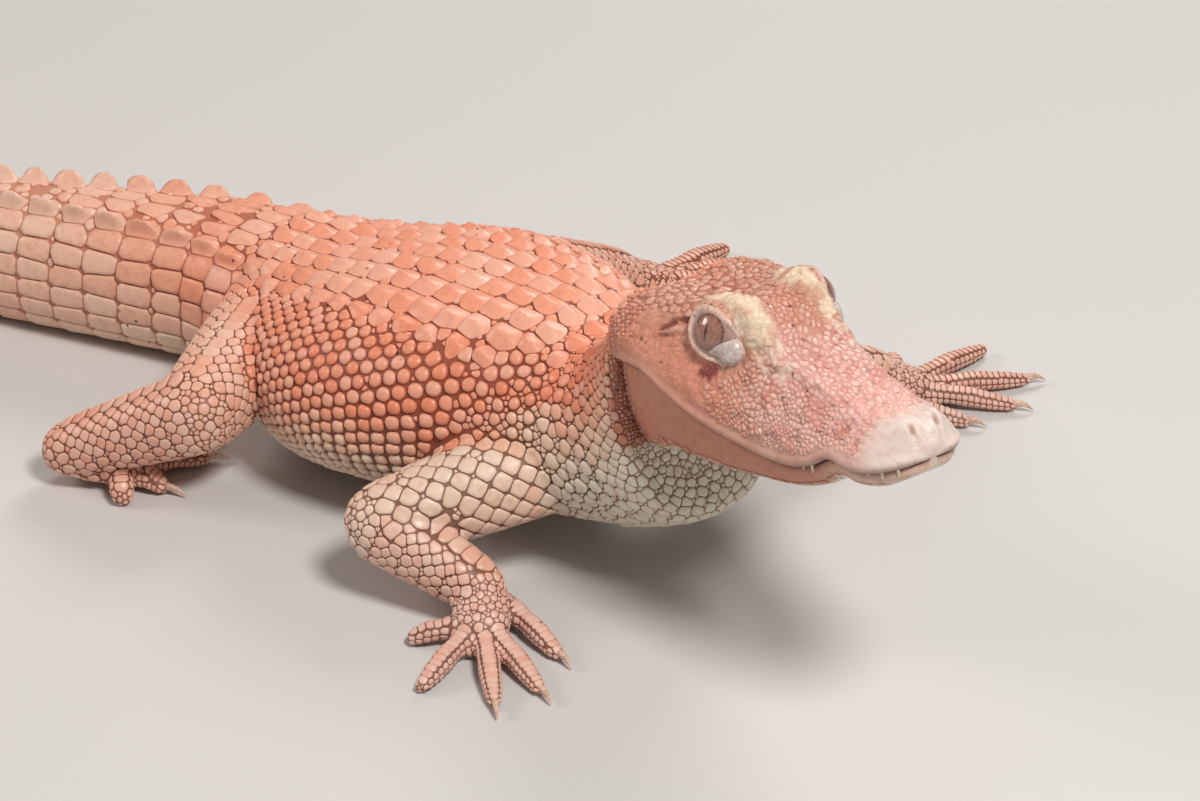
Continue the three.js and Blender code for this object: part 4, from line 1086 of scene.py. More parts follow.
def segment_ratio(points, start, end, thick_a, thick_b):
    way = end - start
    share = np.clip((points - start) @ way / (way @ way), 0, 1)
    foot = start + share[:, None] * way
    return np.linalg.norm(points - foot, axis=1) / (thick_a + (thick_b - thick_a) * share), share


# Piece, level (0 upper, 1 lower, 2 hand or foot, 3 and up digits), start, end, girth at both and size of scale
PARTS = []
for (side, kind), plan in PLANS.items():
    a, b, c = plan["joints"]
    g = plan["girth"]
    name = f"{kind}_scales_{side}"
    PARTS += [(name, 0, a, b, g[0], g[1], 5.6), (name, 1, b, c, g[1], g[2], 5.2),
              (name, 2, c, plan["palm_end"], g[2], 13, 3.9)]
    for i in range(len(plan["tips"])):
        end = digit_line(plan, i, np.array([1.0]))[3]
        end = np.array([end[0], end[1], 3.8])
        start = np.array([*plan["knuckles"][i][:2], 8.6])
        PARTS.append((name, 3 + i, start, end, plan["look"]["thick"], plan["look"]["thick"] * 0.5, 2.9))

BODY_STOPS = np.linspace(0, 10, 241)
BODY_AXES = body_section(BODY_STOPS)


def body_ratio(points):
    """How far out of the body's oval each point lies, 1 on its surface, with its place along the body."""
    best = np.full(len(points), 1e9)
    where = np.zeros(len(points), int)
    for i in range(len(BODY_STOPS)):
        far = ((points - BODY_AXES[0][i]) ** 2).sum(1)
        nearer = far < best
        best[nearer], where[nearer] = far[nearer], i
    rel = points - BODY_AXES[0][where]
    y = (rel * BODY_AXES[1][where]).sum(1)
    z = (rel * BODY_AXES[2][where]).sum(1)
    height = np.where(z > 0, BODY_AXES[4][where], BODY_AXES[5][where])
    ratio = ((np.abs(y) / BODY_AXES[3][where]) ** OVAL_POWER + (np.abs(z) / height) ** OVAL_POWER) ** (1 / OVAL_POWER)
    return ratio, where, np.arctan2(y / BODY_AXES[3][where], z / height)


def sort_points(points):
    """The part that each point belongs to: -1 body, else an index of PARTS, with its place along and turn."""
    ratio, where, turn = body_ratio(points)
    part = np.full(len(points), -1)
    along = BODY_STOPS[where] / 10
    for i, (_, _, start, end, thick_a, thick_b, _) in enumerate(PARTS):
        mine, share = segment_ratio(points, start, end, thick_a, thick_b)
        chosen = mine < ratio
        ratio = np.where(chosen, mine, ratio)
        part[chosen] = i
        along[chosen] = share[chosen]
        way = unit(end - start)
        side = unit(np.cross([0, 0, 1.0], way))
        rel = points[chosen] - start
        turn[chosen] = np.arctan2(rel @ side, rel @ np.cross(way, side))
    return part, along, turn


PART_LEVEL = np.array([p[1] for p in PARTS])
PART_SIZE = np.array([p[6] for p in PARTS])
PART_NAME = np.array([p[0] for p in PARTS], dtype=object)
PART_LIMB = np.cumsum(PART_LEVEL == 0) - 1


def head_zone(points):
    """Size, height, stretch and zone of the scales that fill the head, with no size where the skin is bare."""
    h = to_head(points)
    patchy = grain(h, 0.05, 71)
    x, y, z = h[:, 0], np.abs(h[:, 1]), h[:, 2]
    near = np.stack([x, y, z], -1)
    here = np.clip(x, 0, 0.975)
    over = z - head_value(1, here)
    deep = smooth(JAW_DEPTH[:, 0], JAW_DEPTH[:, 1], here)
    top = (z > head_value(8, here) - 0.03) & (y < head_value(7, here) + 0.02)
    size, high, stretch = np.full(len(x), 2.1), np.full(len(x), 0.8), 1.45 + 0.4 * grain(h, 0.04, 72)
    ridge = top & (x > 0.44)
    crown = top & (x < 0.34)
    size, high, stretch = np.where(ridge, 2.1, size), np.where(ridge, 0.7, high), np.where(ridge, 2.1, stretch)
    size, high = np.where(crown, 3.7, size), np.where(crown, 1.3, high)
    high = high * (1 - 0.8 * soft_step(0.72, 0.9, x)) * (1 + 0.25 * patchy)
    size = size * (1 + 0.3 * patchy)
    under = over < -0.8 * deep
    size, high, stretch = np.where(under, 3.2, size), np.where(under, 0.45, high), np.where(under, 1, stretch)
    bare = (~under & (over < 0.04)) | (~under & (over < 0.075) & (x < 0.12)) | (~under & (x + 0.04 * patchy > 0.86))
    bare |= x > 0.9
    bare |= ~under & ~top & (x > 0.075) & (x < 0.37 + 0.03 * patchy)
    bare |= line_gap(near, BROW)[0] < BROW_WIDE
    bare |= (line_gap(near, EAR)[0] < 0.014) | (np.linalg.norm(near - NOSTRIL_AT, axis=1) < 0.05)
    for knob in KNOBS:
        bare |= np.linalg.norm(near - knob, axis=1) < 0.016
    for sign in (-1, 1):
        reach, far, _ = lid_reach(h, sign)
        bare |= (reach < 1.4) & (far < 0.135) & (h[:, 1] * sign > 0)
    bare &= x > 0.035
    return np.where(bare, 0, size), high, stretch, under


def settle(rows, surface):
    """Sets the planned scales on the skin and drops those without space, the most telling kinds first."""
    at, normal = surface.nearest(rows["point"])
    moved = np.linalg.norm(at - rows["point"], axis=1)
    large = np.isin(rows["kind"], ["scute", "crest"])
    h = to_head(at)
    on_head = (h[:, 0] > 0.035) & (h[:, 2] > -0.3)
    keep = (moved < np.where(large, 7, 4)) & (at[:, 2] > 0.6) & (~on_head | (rows["piece"] == "throat_scales"))
    rows = {k: v[keep] for k, v in rows.items()}
    at, normal = at[keep], normal[keep]
    rank = np.select([np.isin(rows["kind"], ["scute", "crest"]), rows["kind"] == "plate"], [0, 1], 2)
    order = np.argsort(rank, kind="stable")
    rows = {k: v[order] for k, v in rows.items()}
    at, normal = at[order], normal[order]
    rows["wide"], rows["long"] = np.maximum(rows["wide"], 2.0), np.maximum(rows["long"], 2.0)
    along = unit(rows["along"] - normal * (rows["along"] * normal).sum(1)[:, None])
    rows.update(point=at, normal=normal, along=along, across=np.cross(normal, along))
    tree = tree_of(at)
    alive = np.ones(len(at), bool)
    for i in range(len(at)):
        if alive[i]:
            others = np.array([f[1] for f in tree.find_range(at[i], 18)])
            others = others[(others > i) & alive[others]]
            way = at[others] - at[i]
            share = 0.37 if rows["kind"][i] in ("scute", "crest", "plate") else 0.3
            space = share * (size_towards(rows, i, way) + size_towards(rows, others, way))
            alive[others[(np.linalg.norm(way, axis=1) < space) & (normal[others] @ normal[i] > 0.2)]] = False
    return {k: v[alive] for k, v in rows.items()}


def tree_of(points):
    tree = KDTree(len(points))
    for i, point in enumerate(points):
        tree.insert(point, i)
    tree.balance()
    return tree


def size_towards(rows, i, way):
    """A scale's size along a direction."""
    forward = (way * rows["along"][i]).sum(-1)
    aside = (way * rows["across"][i]).sum(-1)
    whole = np.maximum(np.hypot(forward, aside), 1e-6)
    return 1 / np.sqrt((forward / whole / rows["long"][i]) ** 2 + (aside / whole / rows["wide"][i]) ** 2)


def fill_gaps(rows, surface, size, high, stretch, kind, piece, flow):
    """Grows small scales wherever the planned ones leave the skin open."""
    tree = tree_of(surface.points)
    open_skin = (size > 0) & (surface.points[:, 2] > 0.8)

    def cover(at, normal, reach_of, far, lie=None, longer=1.0):
        near = np.array([f[1] for f in tree.find_range(at, far * longer)])
        if len(near):
            way = surface.points[near] - at
            if longer > 1:
                way = way - (1 - 1 / longer) * (way @ lie)[:, None] * lie
            close = np.linalg.norm(way, axis=1) < reach_of(way) + 0.42 * size[near]
            open_skin[near[close & (surface.normals[near] @ normal > 0.1)]] = False

    for i in range(len(rows["point"])):
        share = 0.56 if rows["kind"][i] == "plate" else 0.43
        far = share * max(rows["long"][i], rows["wide"][i]) + 3.5
        cover(rows["point"][i], rows["normal"][i], lambda way: share * size_towards(rows, i, way), far)
    chosen = []
    for i in random.permutation(len(size)):
        if open_skin[i]:
            chosen.append(i)
            cover(surface.points[i], surface.normals[i], lambda way: 0.42 * size[i], 0.9 * size[i] + 1.5,
                  flow[i], stretch[i])
    chosen = np.array(chosen)
    normal = surface.normals[chosen]
    along = unit(flow[chosen] - normal * (flow[chosen] * normal).sum(1)[:, None])
    wide = size[chosen] * random.uniform(0.78, 1.22, len(chosen))
    extra = {"point": surface.points[chosen], "normal": normal, "along": along, "across": np.cross(normal, along),
             "long": wide * stretch[chosen], "wide": wide, "high": high[chosen] * random.uniform(0.6, 1.4, len(chosen)),
             "kind": kind[chosen], "piece": piece[chosen]}
    return {k: np.concatenate([rows[k], extra[k]]) for k in rows}


def outlines(rows, kind_rows, sides, sharp, gap, widest):
    """Reach of each scale's edge in each direction, up to halfway to its neighbours."""
    turns = 2 * np.pi * np.arange(sides) / sides
    near, at = rows["near"][kind_rows], rows["point"]
    way = at[near] - at[kind_rows][:, None]
    far = np.linalg.norm(way, axis=2)
    forward = (way * rows["along"][kind_rows][:, None]).sum(2)
    aside = (way * rows["across"][kind_rows][:, None]).sum(2)
    flat = np.maximum(np.hypot(forward, aside), 1e-6)
    long, wide = rows["long"][kind_rows][:, None], rows["wide"][kind_rows][:, None]
    mine = 1 / np.sqrt((forward / flat / long) ** 2 + (aside / flat / wide) ** 2)
    theirs = size_towards(rows, near, way)
    reach = far * mine / (mine + theirs)
    facing = (rows["normal"][near] * rows["normal"][kind_rows][:, None]).sum(2)
    reach = np.where((facing > 0.1) & (far > 0.2), reach, 1e3)
    ahead = (forward / flat)[..., None] * np.cos(turns) + (aside / flat)[..., None] * np.sin(turns)
    limit = np.where(ahead > 0.05, reach[..., None] / np.maximum(ahead, 0.05), 1e3)
    cap = widest / np.sqrt((np.cos(turns) / long) ** 2 + (np.sin(turns) / wide) ** 2)
    total = (limit ** -float(sharp)).sum(1) + cap ** -float(sharp)
    return turns, np.maximum(np.minimum(total ** (-1 / sharp), cap) * 0.995 - gap, 0.3)


def tile_forms(rows, kind, surface):
    """Corner places of every scale of one kind, with the shared face pattern."""
    look = KINDS[kind]
    chosen = np.nonzero(rows["kind"] == kind)[0]
    turns, reach = outlines(rows, chosen, look["sides"], look["sharp"], look.get("gap", GAP),
                            look.get("widest", WIDEST))
    count, sides = reach.shape
    root, normal = rows["point"][chosen], rows["normal"][chosen]
    across, along = rows["across"][chosen], rows["along"][chosen]
    way = (along[:, None] * np.cos(turns)[None, :, None] + across[:, None] * np.sin(turns)[None, :, None])
    stops = np.array([1, 0.66, 0.33]) if look["keel"] else np.array([1, 0.5])
    grounds = [(root, normal)]
    for stop in stops[::-1]:
        at, up = surface.nearest((root[:, None] + way * reach[..., None] * stop).reshape(-1, 3))
        grounds.append((at.reshape(count, sides, 3), up.reshape(count, sides, 3)))
    levels = np.concatenate([[0], stops[::-1]])

    def ground(share):
        k = min(np.searchsorted(levels, share, side="left"), len(levels) - 1)
        part = (share - levels[k - 1]) / (levels[k] - levels[k - 1])
        low_at, low_up = grounds[k - 1]
        if k == 1:
            low_at, low_up = low_at[:, None], low_up[:, None]
        return low_at * (1 - part) + grounds[k][0] * part, unit(low_up * (1 - part) + grounds[k][1] * part)

    high = look["high"] * rows["high"][chosen][:, None]
    half_long = np.maximum(reach[:, :1], 0.1)
    half_wide = np.maximum(reach[:, sides // 4][:, None], 0.1)
    # rim marks how high on its wall each ring lies: the low rings take the darker seam colour, partly painted shade at
    # the scale's base
    rings, rims = [], []
    at, up = ground(1)
    rings.append(at - up * 0.5)
    rims.append(0.0)
    for share, rise in look["rings"]:
        at, up = ground(share)
        a = np.cos(turns)[None] * reach * share / half_long
        b = np.sin(turns)[None] * reach * share / half_wide
        if kind == "scute":
            tent = (1 - np.clip(np.abs(b), 0, 1)) * (1 - np.clip(np.abs(a), 0, 1) ** 4) * (0.75 - 0.42 * a)
            lift = high * (0.2 * rise + 0.9 * tent)
        elif kind == "crest":
            lift = high * (0.2 * rise + 0.8 * bell(b / 0.36) * np.maximum(1 - np.abs((a + 0.1) / 1.08) ** 3.2, 0))
        else:
            lift = high * rise
        lift = lift + np.minimum(high, 2) * look["lean"] * -a * 0.3 * min(share * 1.6, 1)
        rings.append(at + up * np.maximum(lift, 0.06)[..., None])
        rims.append([0.3, 0.8, 1, 1, 1, 1][min(len(rims) - 1, 5)])
    top = root + normal * (high * (0.88 if kind == "scute" else 1.0))
    rims.append(1.0)
    places = np.concatenate(rings + [top[:, None]], axis=1)
    places[..., 2] = np.maximum(places[..., 2], 0.06)
    rim = np.concatenate([np.full(sides, r) for r in rims[:-1]] + [[1.0]])
    spread_by = np.concatenate([np.ones(sides)] + [np.full(sides, s) for s, _ in look["rings"]] + [[0.0]])
    turn_by = np.concatenate([turns] * len(rings) + [[0.0]])
    return chosen, places, rim, spread_by, turn_by, len(rings), sides


def scale_faces(rings, sides):
    """Corner numbers of one closed scale: its walls, crown and underside."""
    faces = [list(range(sides - 1, -1, -1))]
    for ring in range(rings - 1):
        for i in range(sides):
            j = (i + 1) % sides
            a, b = ring * sides, (ring + 1) * sides
            faces.append([a + i, a + j, b + j, b + i])
    last = (rings - 1) * sides
    for i in range(sides):
        faces.append([last + i, last + (i + 1) % sides, rings * sides])
    return faces


def scale_pieces(rows, surface, charts, colours, seams):
    """All scales joined into named pieces."""
    tree = tree_of(rows["point"])
    rows["near"] = np.array([[f[1] for f in tree.find_n(p, 22)][1:] for p in rows["point"]])
    tone = random.uniform(0, 1, len(rows["point"]))
    stock = {name: [] for name in sorted(set(rows["piece"]))}
    for kind in KINDS:
        if not (rows["kind"] == kind).any():
            continue
        chosen, places, rim, spread_by, turn_by, rings, sides = tile_forms(rows, kind, surface)
        faces = scale_faces(rings, sides)
        for name in stock:
            mine = np.nonzero(rows["piece"][chosen] == name)[0]
            if len(mine):
                stock[name].append((places[mine], faces, rim, spread_by, turn_by, chosen[mine]))
    pieces = {}
    for name, groups in stock.items():
        points, loops, starts, values = [], [], [], {"rim": [], "tone": [], "hide": [], "seam": [], "chart": []}
        first, begun = 0, 0
        for places, faces, rim, spread_by, turn_by, index in groups:
            count, corners = places.shape[:2]
            flat = np.concatenate(faces)
            lengths = np.array([len(f) for f in faces])
            loops.append((flat[None] + first + corners * np.arange(count)[:, None]).ravel())
            begins = np.concatenate([[0], np.cumsum(lengths)[:-1]])
            starts.append((begins[None] + begun + len(flat) * np.arange(count)[:, None]).ravel())
            first += count * corners
            begun += len(flat) * count
            points.append(places.reshape(-1, 3))
            values["rim"].append(np.tile(rim, count))
            values["tone"].append(np.repeat(tone[index], corners))
            values["hide"].append(np.repeat(colours[index], corners, axis=0))
            values["seam"].append(np.repeat(seams[index], corners, axis=0))
            spot = 0.0015 * spread_by[:, None] * np.stack([np.cos(turn_by), np.sin(turn_by)], -1)
            values["chart"].append((charts[index][:, None] + spot[None]).reshape(-1, 2))
        pieces[name] = mesh_piece(name, np.concatenate(points), np.concatenate(loops), np.concatenate(starts),
                                  {k: np.concatenate(v) for k, v in values.items()})
    return pieces


def mesh_piece(name, points, loops, starts, values):
    mesh = bpy.data.meshes.new(name)
    mesh.vertices.add(len(points))
    mesh.loops.add(len(loops))
    mesh.polygons.add(len(starts))
    mesh.vertices.foreach_set("co", points.astype(np.float32).ravel())
    mesh.loops.foreach_set("vertex_index", loops.astype(np.int32))
    mesh.polygons.foreach_set("loop_start", starts.astype(np.int32))
    mesh.update(calc_edges=True)
    mesh.validate()
    for key in ("rim", "tone"):
        mesh.attributes.new(key, "FLOAT", "POINT").data.foreach_set("value", values[key].astype(np.float32))
    set_colour(mesh, "hide", values["hide"])
    set_colour(mesh, "seam", values["seam"])
    chart = mesh.uv_layers.new(name="OFBake")
    chart.uv.foreach_set("vector", values["chart"][loops].astype(np.float32).ravel())
    piece = bpy.data.objects.new(name, mesh)
    bpy.context.scene.collection.objects.link(piece)
    return piece


def set_colour(mesh, name, colours):
    flat = np.concatenate([linear(colours), np.ones((len(colours), 1))], axis=1)
    mesh.attributes.new(name, "FLOAT_COLOR", "POINT").data.foreach_set("color", flat.astype(np.float32).ravel())


def linear(colour):
    """Screen colours from 0 to 255 as light."""
    value = np.clip(np.asarray(colour, float) / 255, 0, 1)
    return np.where(value <= 0.04045, value / 12.92, ((value + 0.055) / 1.055) ** 2.4)


# Markings, with some painted lamp light and painted shade

# SALMON_WITH_RED_LAMP_LIGHT is partly the animal's own flush and partly painted light of the red lamp
CREAM, PINK, SALMON_WITH_RED_LAMP_LIGHT = (230, 220, 198), (230, 184, 160), (230, 128, 92)
THROAT, FOREARM, HAND = (224, 215, 196), (230, 184, 164), (226, 180, 164)
# LOWER_JAW_WITH_ORANGE_LAMP_LIGHT and CROWN_WITH_RED_LAMP_LIGHT are partly the head's own colour and partly painted
# light of the red lamp
LOWER_JAW_WITH_ORANGE_LAMP_LIGHT, SNOUT, NOSE = (192, 124, 100), (224, 180, 168), (228, 208, 198)
BROW_TONE, CROWN_WITH_RED_LAMP_LIGHT = (236, 212, 184), (206, 146, 122)


def mix(one, other, share):
    share = np.asarray(share)[:, None]
    return np.asarray(one, float) * (1 - share) + np.asarray(other, float) * share


def head_colour(h):
    x, y, z = h[:, 0], np.abs(h[:, 1]), h[:, 2]
    near = np.stack([x, y, z], -1)
    here = np.clip(x, 0, 0.975)
    over = z - head_value(1, here)
    deep = smooth(JAW_DEPTH[:, 0], JAW_DEPTH[:, 1], here)
    patchy = grain(h, 0.06, 21)
    # the crown and the lower rear of the head are reddish and orange and the snout pale: partly the head's own colours,
    # partly painted red lamp light on the rear
    colour = mix(CROWN_WITH_RED_LAMP_LIGHT, SNOUT, soft_step(0.38, 0.58, x + 0.04 * patchy))
    colour = mix(colour, (206, 132, 106), (1 - soft_step(0.3, 0.45, x)) * (1 - soft_step(0.13, 0.19, z)))
    colour = mix(colour, (206, 128, 114), 0.4 * soft_step(0.1, 0.5, grain(h, 0.035, 22)) * soft_step(0.4, 0.5, x))
    colour = mix(colour, NOSE, soft_step(0.83, 0.92, x))
    colour = mix(colour, (214, 160, 140), 0.7 * bell((over - 0.02) / 0.025) * (1 - soft_step(0.7, 0.85, x)))
    knob = np.min([np.linalg.norm(near - k, axis=1) for k in KNOBS], axis=0)
    colour = mix(colour, (232, 208, 190), 0.8 * (1 - soft_step(0.01, 0.018, knob)))
    # painted shade: darker colour in the carved snout pit and slit
    colour = mix(colour, (178, 92, 78), 0.6 * bell(np.linalg.norm(near - SNOUT_PIT, axis=1) / 0.02))
    colour = mix(colour, (120, 50, 44), 0.8 * bell(line_gap(near, SNOUT_SLIT)[0] / 0.004))
    brow = 1 - soft_step(BROW_WIDE - 0.007, BROW_WIDE + 0.005, line_gap(near, BROW)[0] + 0.006 * patchy)
    # the brow turns darker and redder towards its rear and in random patches
    rear_and_patchy = grain(h, 0.03, 24) + 0.5 * soft_step(0.34, 0.26, x)
    brow_tone = mix(BROW_TONE, (206, 156, 130), soft_step(0.15, 0.6, rear_and_patchy))
    colour = colour * (1 - brow[:, None]) + brow_tone * brow[:, None]
    jaw = 1 - soft_step(-0.012, 0.0, over)
    # the lower jaw is orange-brown, partly painted orange lamp light, paling to cream in front
    lower = mix(LOWER_JAW_WITH_ORANGE_LAMP_LIGHT, (214, 178, 160), soft_step(0.62, 0.85, x))
    lower = mix(lower, THROAT, soft_step(0.84, 0.95, -over / deep))
    colour = mix(colour, lower, jaw)
    # painted shade along the mouth line, in the dip between the jaws
    colour = mix(colour, (120, 78, 66), 0.75 * bell((over + 0.001) / 0.007) * soft_step(0.03, 0.08, x))
    for sign in (-1, 1):
        reach, far, _ = lid_reach(h, sign)
        lid = (1 - soft_step(1.14, 1.4, reach)) * (far < 0.1) * (h[:, 1] * sign > 0)
        colour = mix(colour, (232, 206, 192), 0.8 * lid)
    # painted shade in the carved ear slit and ear groove
    colour = mix(colour, (70, 22, 16), 0.95 * bell(line_gap(near, EAR)[0] / 0.006))
    colour = mix(colour, (84, 40, 32), 0.9 * bell(line_gap(near, EAR_GROOVE)[0] / 0.005))
    colour = mix(colour, (214, 176, 158), 0.6 * bell(line_gap(near, EAR_FOLD)[0] / 0.007))
    colour = mix(colour, (222, 184, 170), 0.6 * bell(line_gap(near, LOWER_LID)[0] / 0.008))
    # painted shade in the nostril pits
    pit = np.hypot(near[:, 0] - NOSTRIL_AT[0], (near[:, 1] - NOSTRIL_AT[1]) * 1.6)
    colour = mix(colour, (140, 108, 98), 0.6 * bell(pit / 0.009) * (z > 0.04))
    spot = np.linalg.norm((h - RED_SPOT) * np.array([36, 12, 66]), axis=1) + 0.2 * grain(h, 0.012, 23)
    return mix(colour, (112, 8, 6), 1 - soft_step(0.9, 1.1, spot))


def body_colour(points, part, along, turn):
    stop = along * 10
    down = np.abs(turn)
    patchy = 0.25 * grain(points, 38, 31)
    # painted lamp light: the top of the back and the nape turn salmon, partly the animal's flush and partly red lamp
    # light painted in
    back = 1 - soft_step(1.35, 2.15, down + patchy)
    flush_and_lamp_light = soft_step(2.5, 4.1, stop + 0.8 * patchy + 1.6 * (1 - soft_step(0.9, 1.3, down)))
    flush_and_lamp_light = flush_and_lamp_light * (1 - soft_step(8.9, 9.5, stop))
    nape_flush_and_lamp_light = (1 - soft_step(1.8, 3.0, stop)) * (1 - soft_step(1.3, 2.1, down + patchy))
    colour = mix(CREAM, PINK, np.clip(0.35 + patchy, 0, 1))
    colour = mix(colour, SALMON_WITH_RED_LAMP_LIGHT, np.clip(0.85 * flush_and_lamp_light * back + 0.8 * nape_flush_and_lamp_light, 0, 1))
    # a paler salmon along the top middle, partly painted lamp light falling on the top
    colour = mix(colour, (238, 168, 140), 0.6 * flush_and_lamp_light * bell(turn / 0.7))
    colour = mix(colour, THROAT, (1 - soft_step(2.4, 3.6, stop)) * soft_step(1.5, 2.1, down))
    tail = soft_step(9.0, 9.3, stop)
    colour = mix(colour, mix((236, 192, 168), (226, 158, 132), np.clip(0.45 + 1.6 * patchy, 0, 1)), tail)
    limb = part >= 0
    level = PART_LEVEL[np.maximum(part, 0)]
    which = PART_LIMB[np.maximum(part, 0)]
    leg = np.isin(which, [1, 3])
    tones = np.where(leg[:, None], (228, 178, 154), (228, 206, 184))
    tones = np.where((~leg & (level == 1))[:, None], FOREARM, tones)
    tones = np.where((level >= 2)[:, None], HAND, tones)
    tones = np.where((leg & (level >= 1))[:, None], (226, 168, 146), tones)
    tones = np.where(((which == 2) & (level == 0))[:, None], (224, 204, 182), tones)
    tones = mix(tones, (236, 160, 132), np.clip(0.25 + patchy, 0, 0.6))
    return np.where(limb[:, None], tones, colour)


def seam_colour_and_shade(hide, on_head, h, stop, part):
    """The darker colour of the skin between scales, partly its own crease colour and partly painted shade: red-brown on
    the trunk, grey-brown in front, faint on the head.
    """
    pale = np.where(part >= 0, 0.7, 1 - soft_step(2.6, 3.8, stop))
    # dark is a multiplier that darkens the hide in the creases, partly crease colour and partly painted shade
    dark = mix((0.64, 0.52, 0.48), (0.56, 0.48, 0.43), pale)
    dark = mix(dark, (0.84, 0.74, 0.7), np.where(part >= 0, 0, soft_step(8.8, 9.2, stop)))
    dark = mix(dark, (0.76, 0.66, 0.6), np.where(part >= 0, 0, soft_step(-0.14, -0.04, h[:, 0])))
    faint = 0.95 - 0.1 * soft_step(0.4, 0.1, h[:, 0]) + 0.05 * soft_step(0.6, 0.85, h[:, 0])
    on_face = np.stack([faint, faint * 0.92, faint * 0.91], -1)
    return hide * np.where((on_head & (h[:, 2] > -0.1))[:, None], on_face, dark)


# Finishes

def new_finish(name):
    finish = bpy.data.materials.get(name) or bpy.data.materials.new(name)
    finish.use_nodes = True
    tree = finish.node_tree
    return finish, tree, tree.nodes["Principled BSDF"]


def add_node(tree, kind, **sockets):
    node = tree.nodes.new(kind)
    for key, value in sockets.items():
        if hasattr(node, key):
            setattr(node, key, value)
        else:
            node.inputs[key.replace("_", " ")].default_value = value
    return node


def join_up(tree, *pairs):
    for start, end in pairs:
        tree.links.new(start, end)


def range_of(tree, source, low_in, high_in, low_out, high_out):
    node = add_node(tree, "ShaderNodeMapRange")
    for socket, value in zip(("From Min", "From Max", "To Min", "To Max"), (low_in, high_in, low_out, high_out)):
        node.inputs[socket].default_value = value
    node.interpolation_type = "SMOOTHSTEP"
    join_up(tree, (source, node.inputs["Value"]))
    return node.outputs["Result"]


def mix_colour(tree, share, one, other, mode="MIX"):
    node = add_node(tree, "ShaderNodeMix", data_type="RGBA", blend_type=mode)
    for value, index in ((share, 0), (one, 6), (other, 7)):
        if isinstance(value, bpy.types.NodeSocket):
            join_up(tree, (value, node.inputs[index]))
        else:
            node.inputs[index].default_value = value
    return node.outputs[2]


def hide_finish(name, bump_scale, bump_high, rough, wrinkled=False):
    """Scaly hide: its markings with some painted lamp light, darker creases that are partly painted shade, fine
    mottling, small specks of dirt and a soft gloss.
    """
    # a net of fine wrinkles is cut into bare skin, as deep as its attribute "fold" says
    finish, tree, shade = new_finish(name)
    place = add_node(tree, "ShaderNodeTexCoord").outputs["Object"]
    hide = add_node(tree, "ShaderNodeAttribute", attribute_name="hide")
    rim = add_node(tree, "ShaderNodeAttribute", attribute_name="rim")
    tone = add_node(tree, "ShaderNodeAttribute", attribute_name="tone")
    mottle = add_node(tree, "ShaderNodeTexNoise", Scale=260.0, Detail=4.0, Roughness=0.6)
    fine = add_node(tree, "ShaderNodeTexNoise", Scale=bump_scale, Detail=3.0, Roughness=0.6)
    cells = add_node(tree, "ShaderNodeTexVoronoi", Scale=170.0)
    dirt_area = add_node(tree, "ShaderNodeTexNoise", Scale=34.0, Detail=2.0)
    for node in (mottle, fine, cells, dirt_area):
        join_up(tree, (place, node.inputs["Vector"]))
    darker = mix_colour(tree, 1.0, hide.outputs["Color"], (0.78, 0.62, 0.56, 1), "MULTIPLY")
    skin = mix_colour(tree, range_of(tree, mottle.outputs["Fac"], 0.42, 0.72, 0, 0.55), hide.outputs["Color"], darker)
    pale = mix_colour(tree, range_of(tree, tone.outputs["Fac"], 0, 1, 0, 0.24), skin, (0.86, 0.74, 0.62, 1))
    # low scale walls and covered skin take the seam colour, partly painted crease shade
    seam = add_node(tree, "ShaderNodeAttribute", attribute_name="seam")
    whole = mix_colour(tree, range_of(tree, rim.outputs["Fac"], 0.05, 0.85, 0, 1), seam.outputs["Color"], pale)
    speck = add_node(tree, "ShaderNodeMath", operation="MULTIPLY")
    join_up(tree, (range_of(tree, cells.outputs["Distance"], 0.12, 0.2, 1, 0), speck.inputs[0]),
            (range_of(tree, dirt_area.outputs["Fac"], 0.6, 0.66, 0, 0.85), speck.inputs[1]))
    whole = mix_colour(tree, speck.outputs[0], whole, (0.045, 0.03, 0.022, 1))
    height = fine.outputs["Fac"]
    if wrinkled:
        fold = add_node(tree, "ShaderNodeAttribute", attribute_name="fold")
        net = add_node(tree, "ShaderNodeTexVoronoi", feature="DISTANCE_TO_EDGE", Scale=300.0)
        line = add_node(tree, "ShaderNodeMath", operation="MULTIPLY")
        cut = add_node(tree, "ShaderNodeMath", operation="MULTIPLY_ADD")
        cut.inputs[1].default_value = -1.1
        bend = add_node(tree, "ShaderNodeVectorMath", operation="MULTIPLY_ADD")
        bend.inputs[1].default_value = (0.006, 0.006, 0.006)
        join_up(tree, (mottle.outputs["Color"], bend.inputs[0]), (place, bend.inputs[2]),
                (bend.outputs["Vector"], net.inputs["Vector"]),
                (range_of(tree, net.outputs["Distance"], 0.0, 0.12, 1, 0), line.inputs[0]),
                (fold.outputs["Fac"], line.inputs[1]), (line.outputs[0], cut.inputs[0]), (height, cut.inputs[2]))
        height = cut.outputs[0]
        # the wrinkle lines are darkened, partly crease colour and partly painted shade
        whole = mix_colour(tree, range_of(tree, line.outputs[0], 0, 1, 0, 0.35), whole, darker)
    join_up(tree, (whole, shade.inputs["Base Color"]),
            (range_of(tree, mottle.outputs["Fac"], 0.3, 0.7, rough - 0.07, rough + 0.1), shade.inputs["Roughness"]))
    bump = add_node(tree, "ShaderNodeBump", Strength=0.5, Distance=bump_high)
    join_up(tree, (height, bump.inputs["Height"]), (bump.outputs["Normal"], shade.inputs["Normal"]))
    shade.inputs["Specular IOR Level"].default_value = 0.42
    return finish


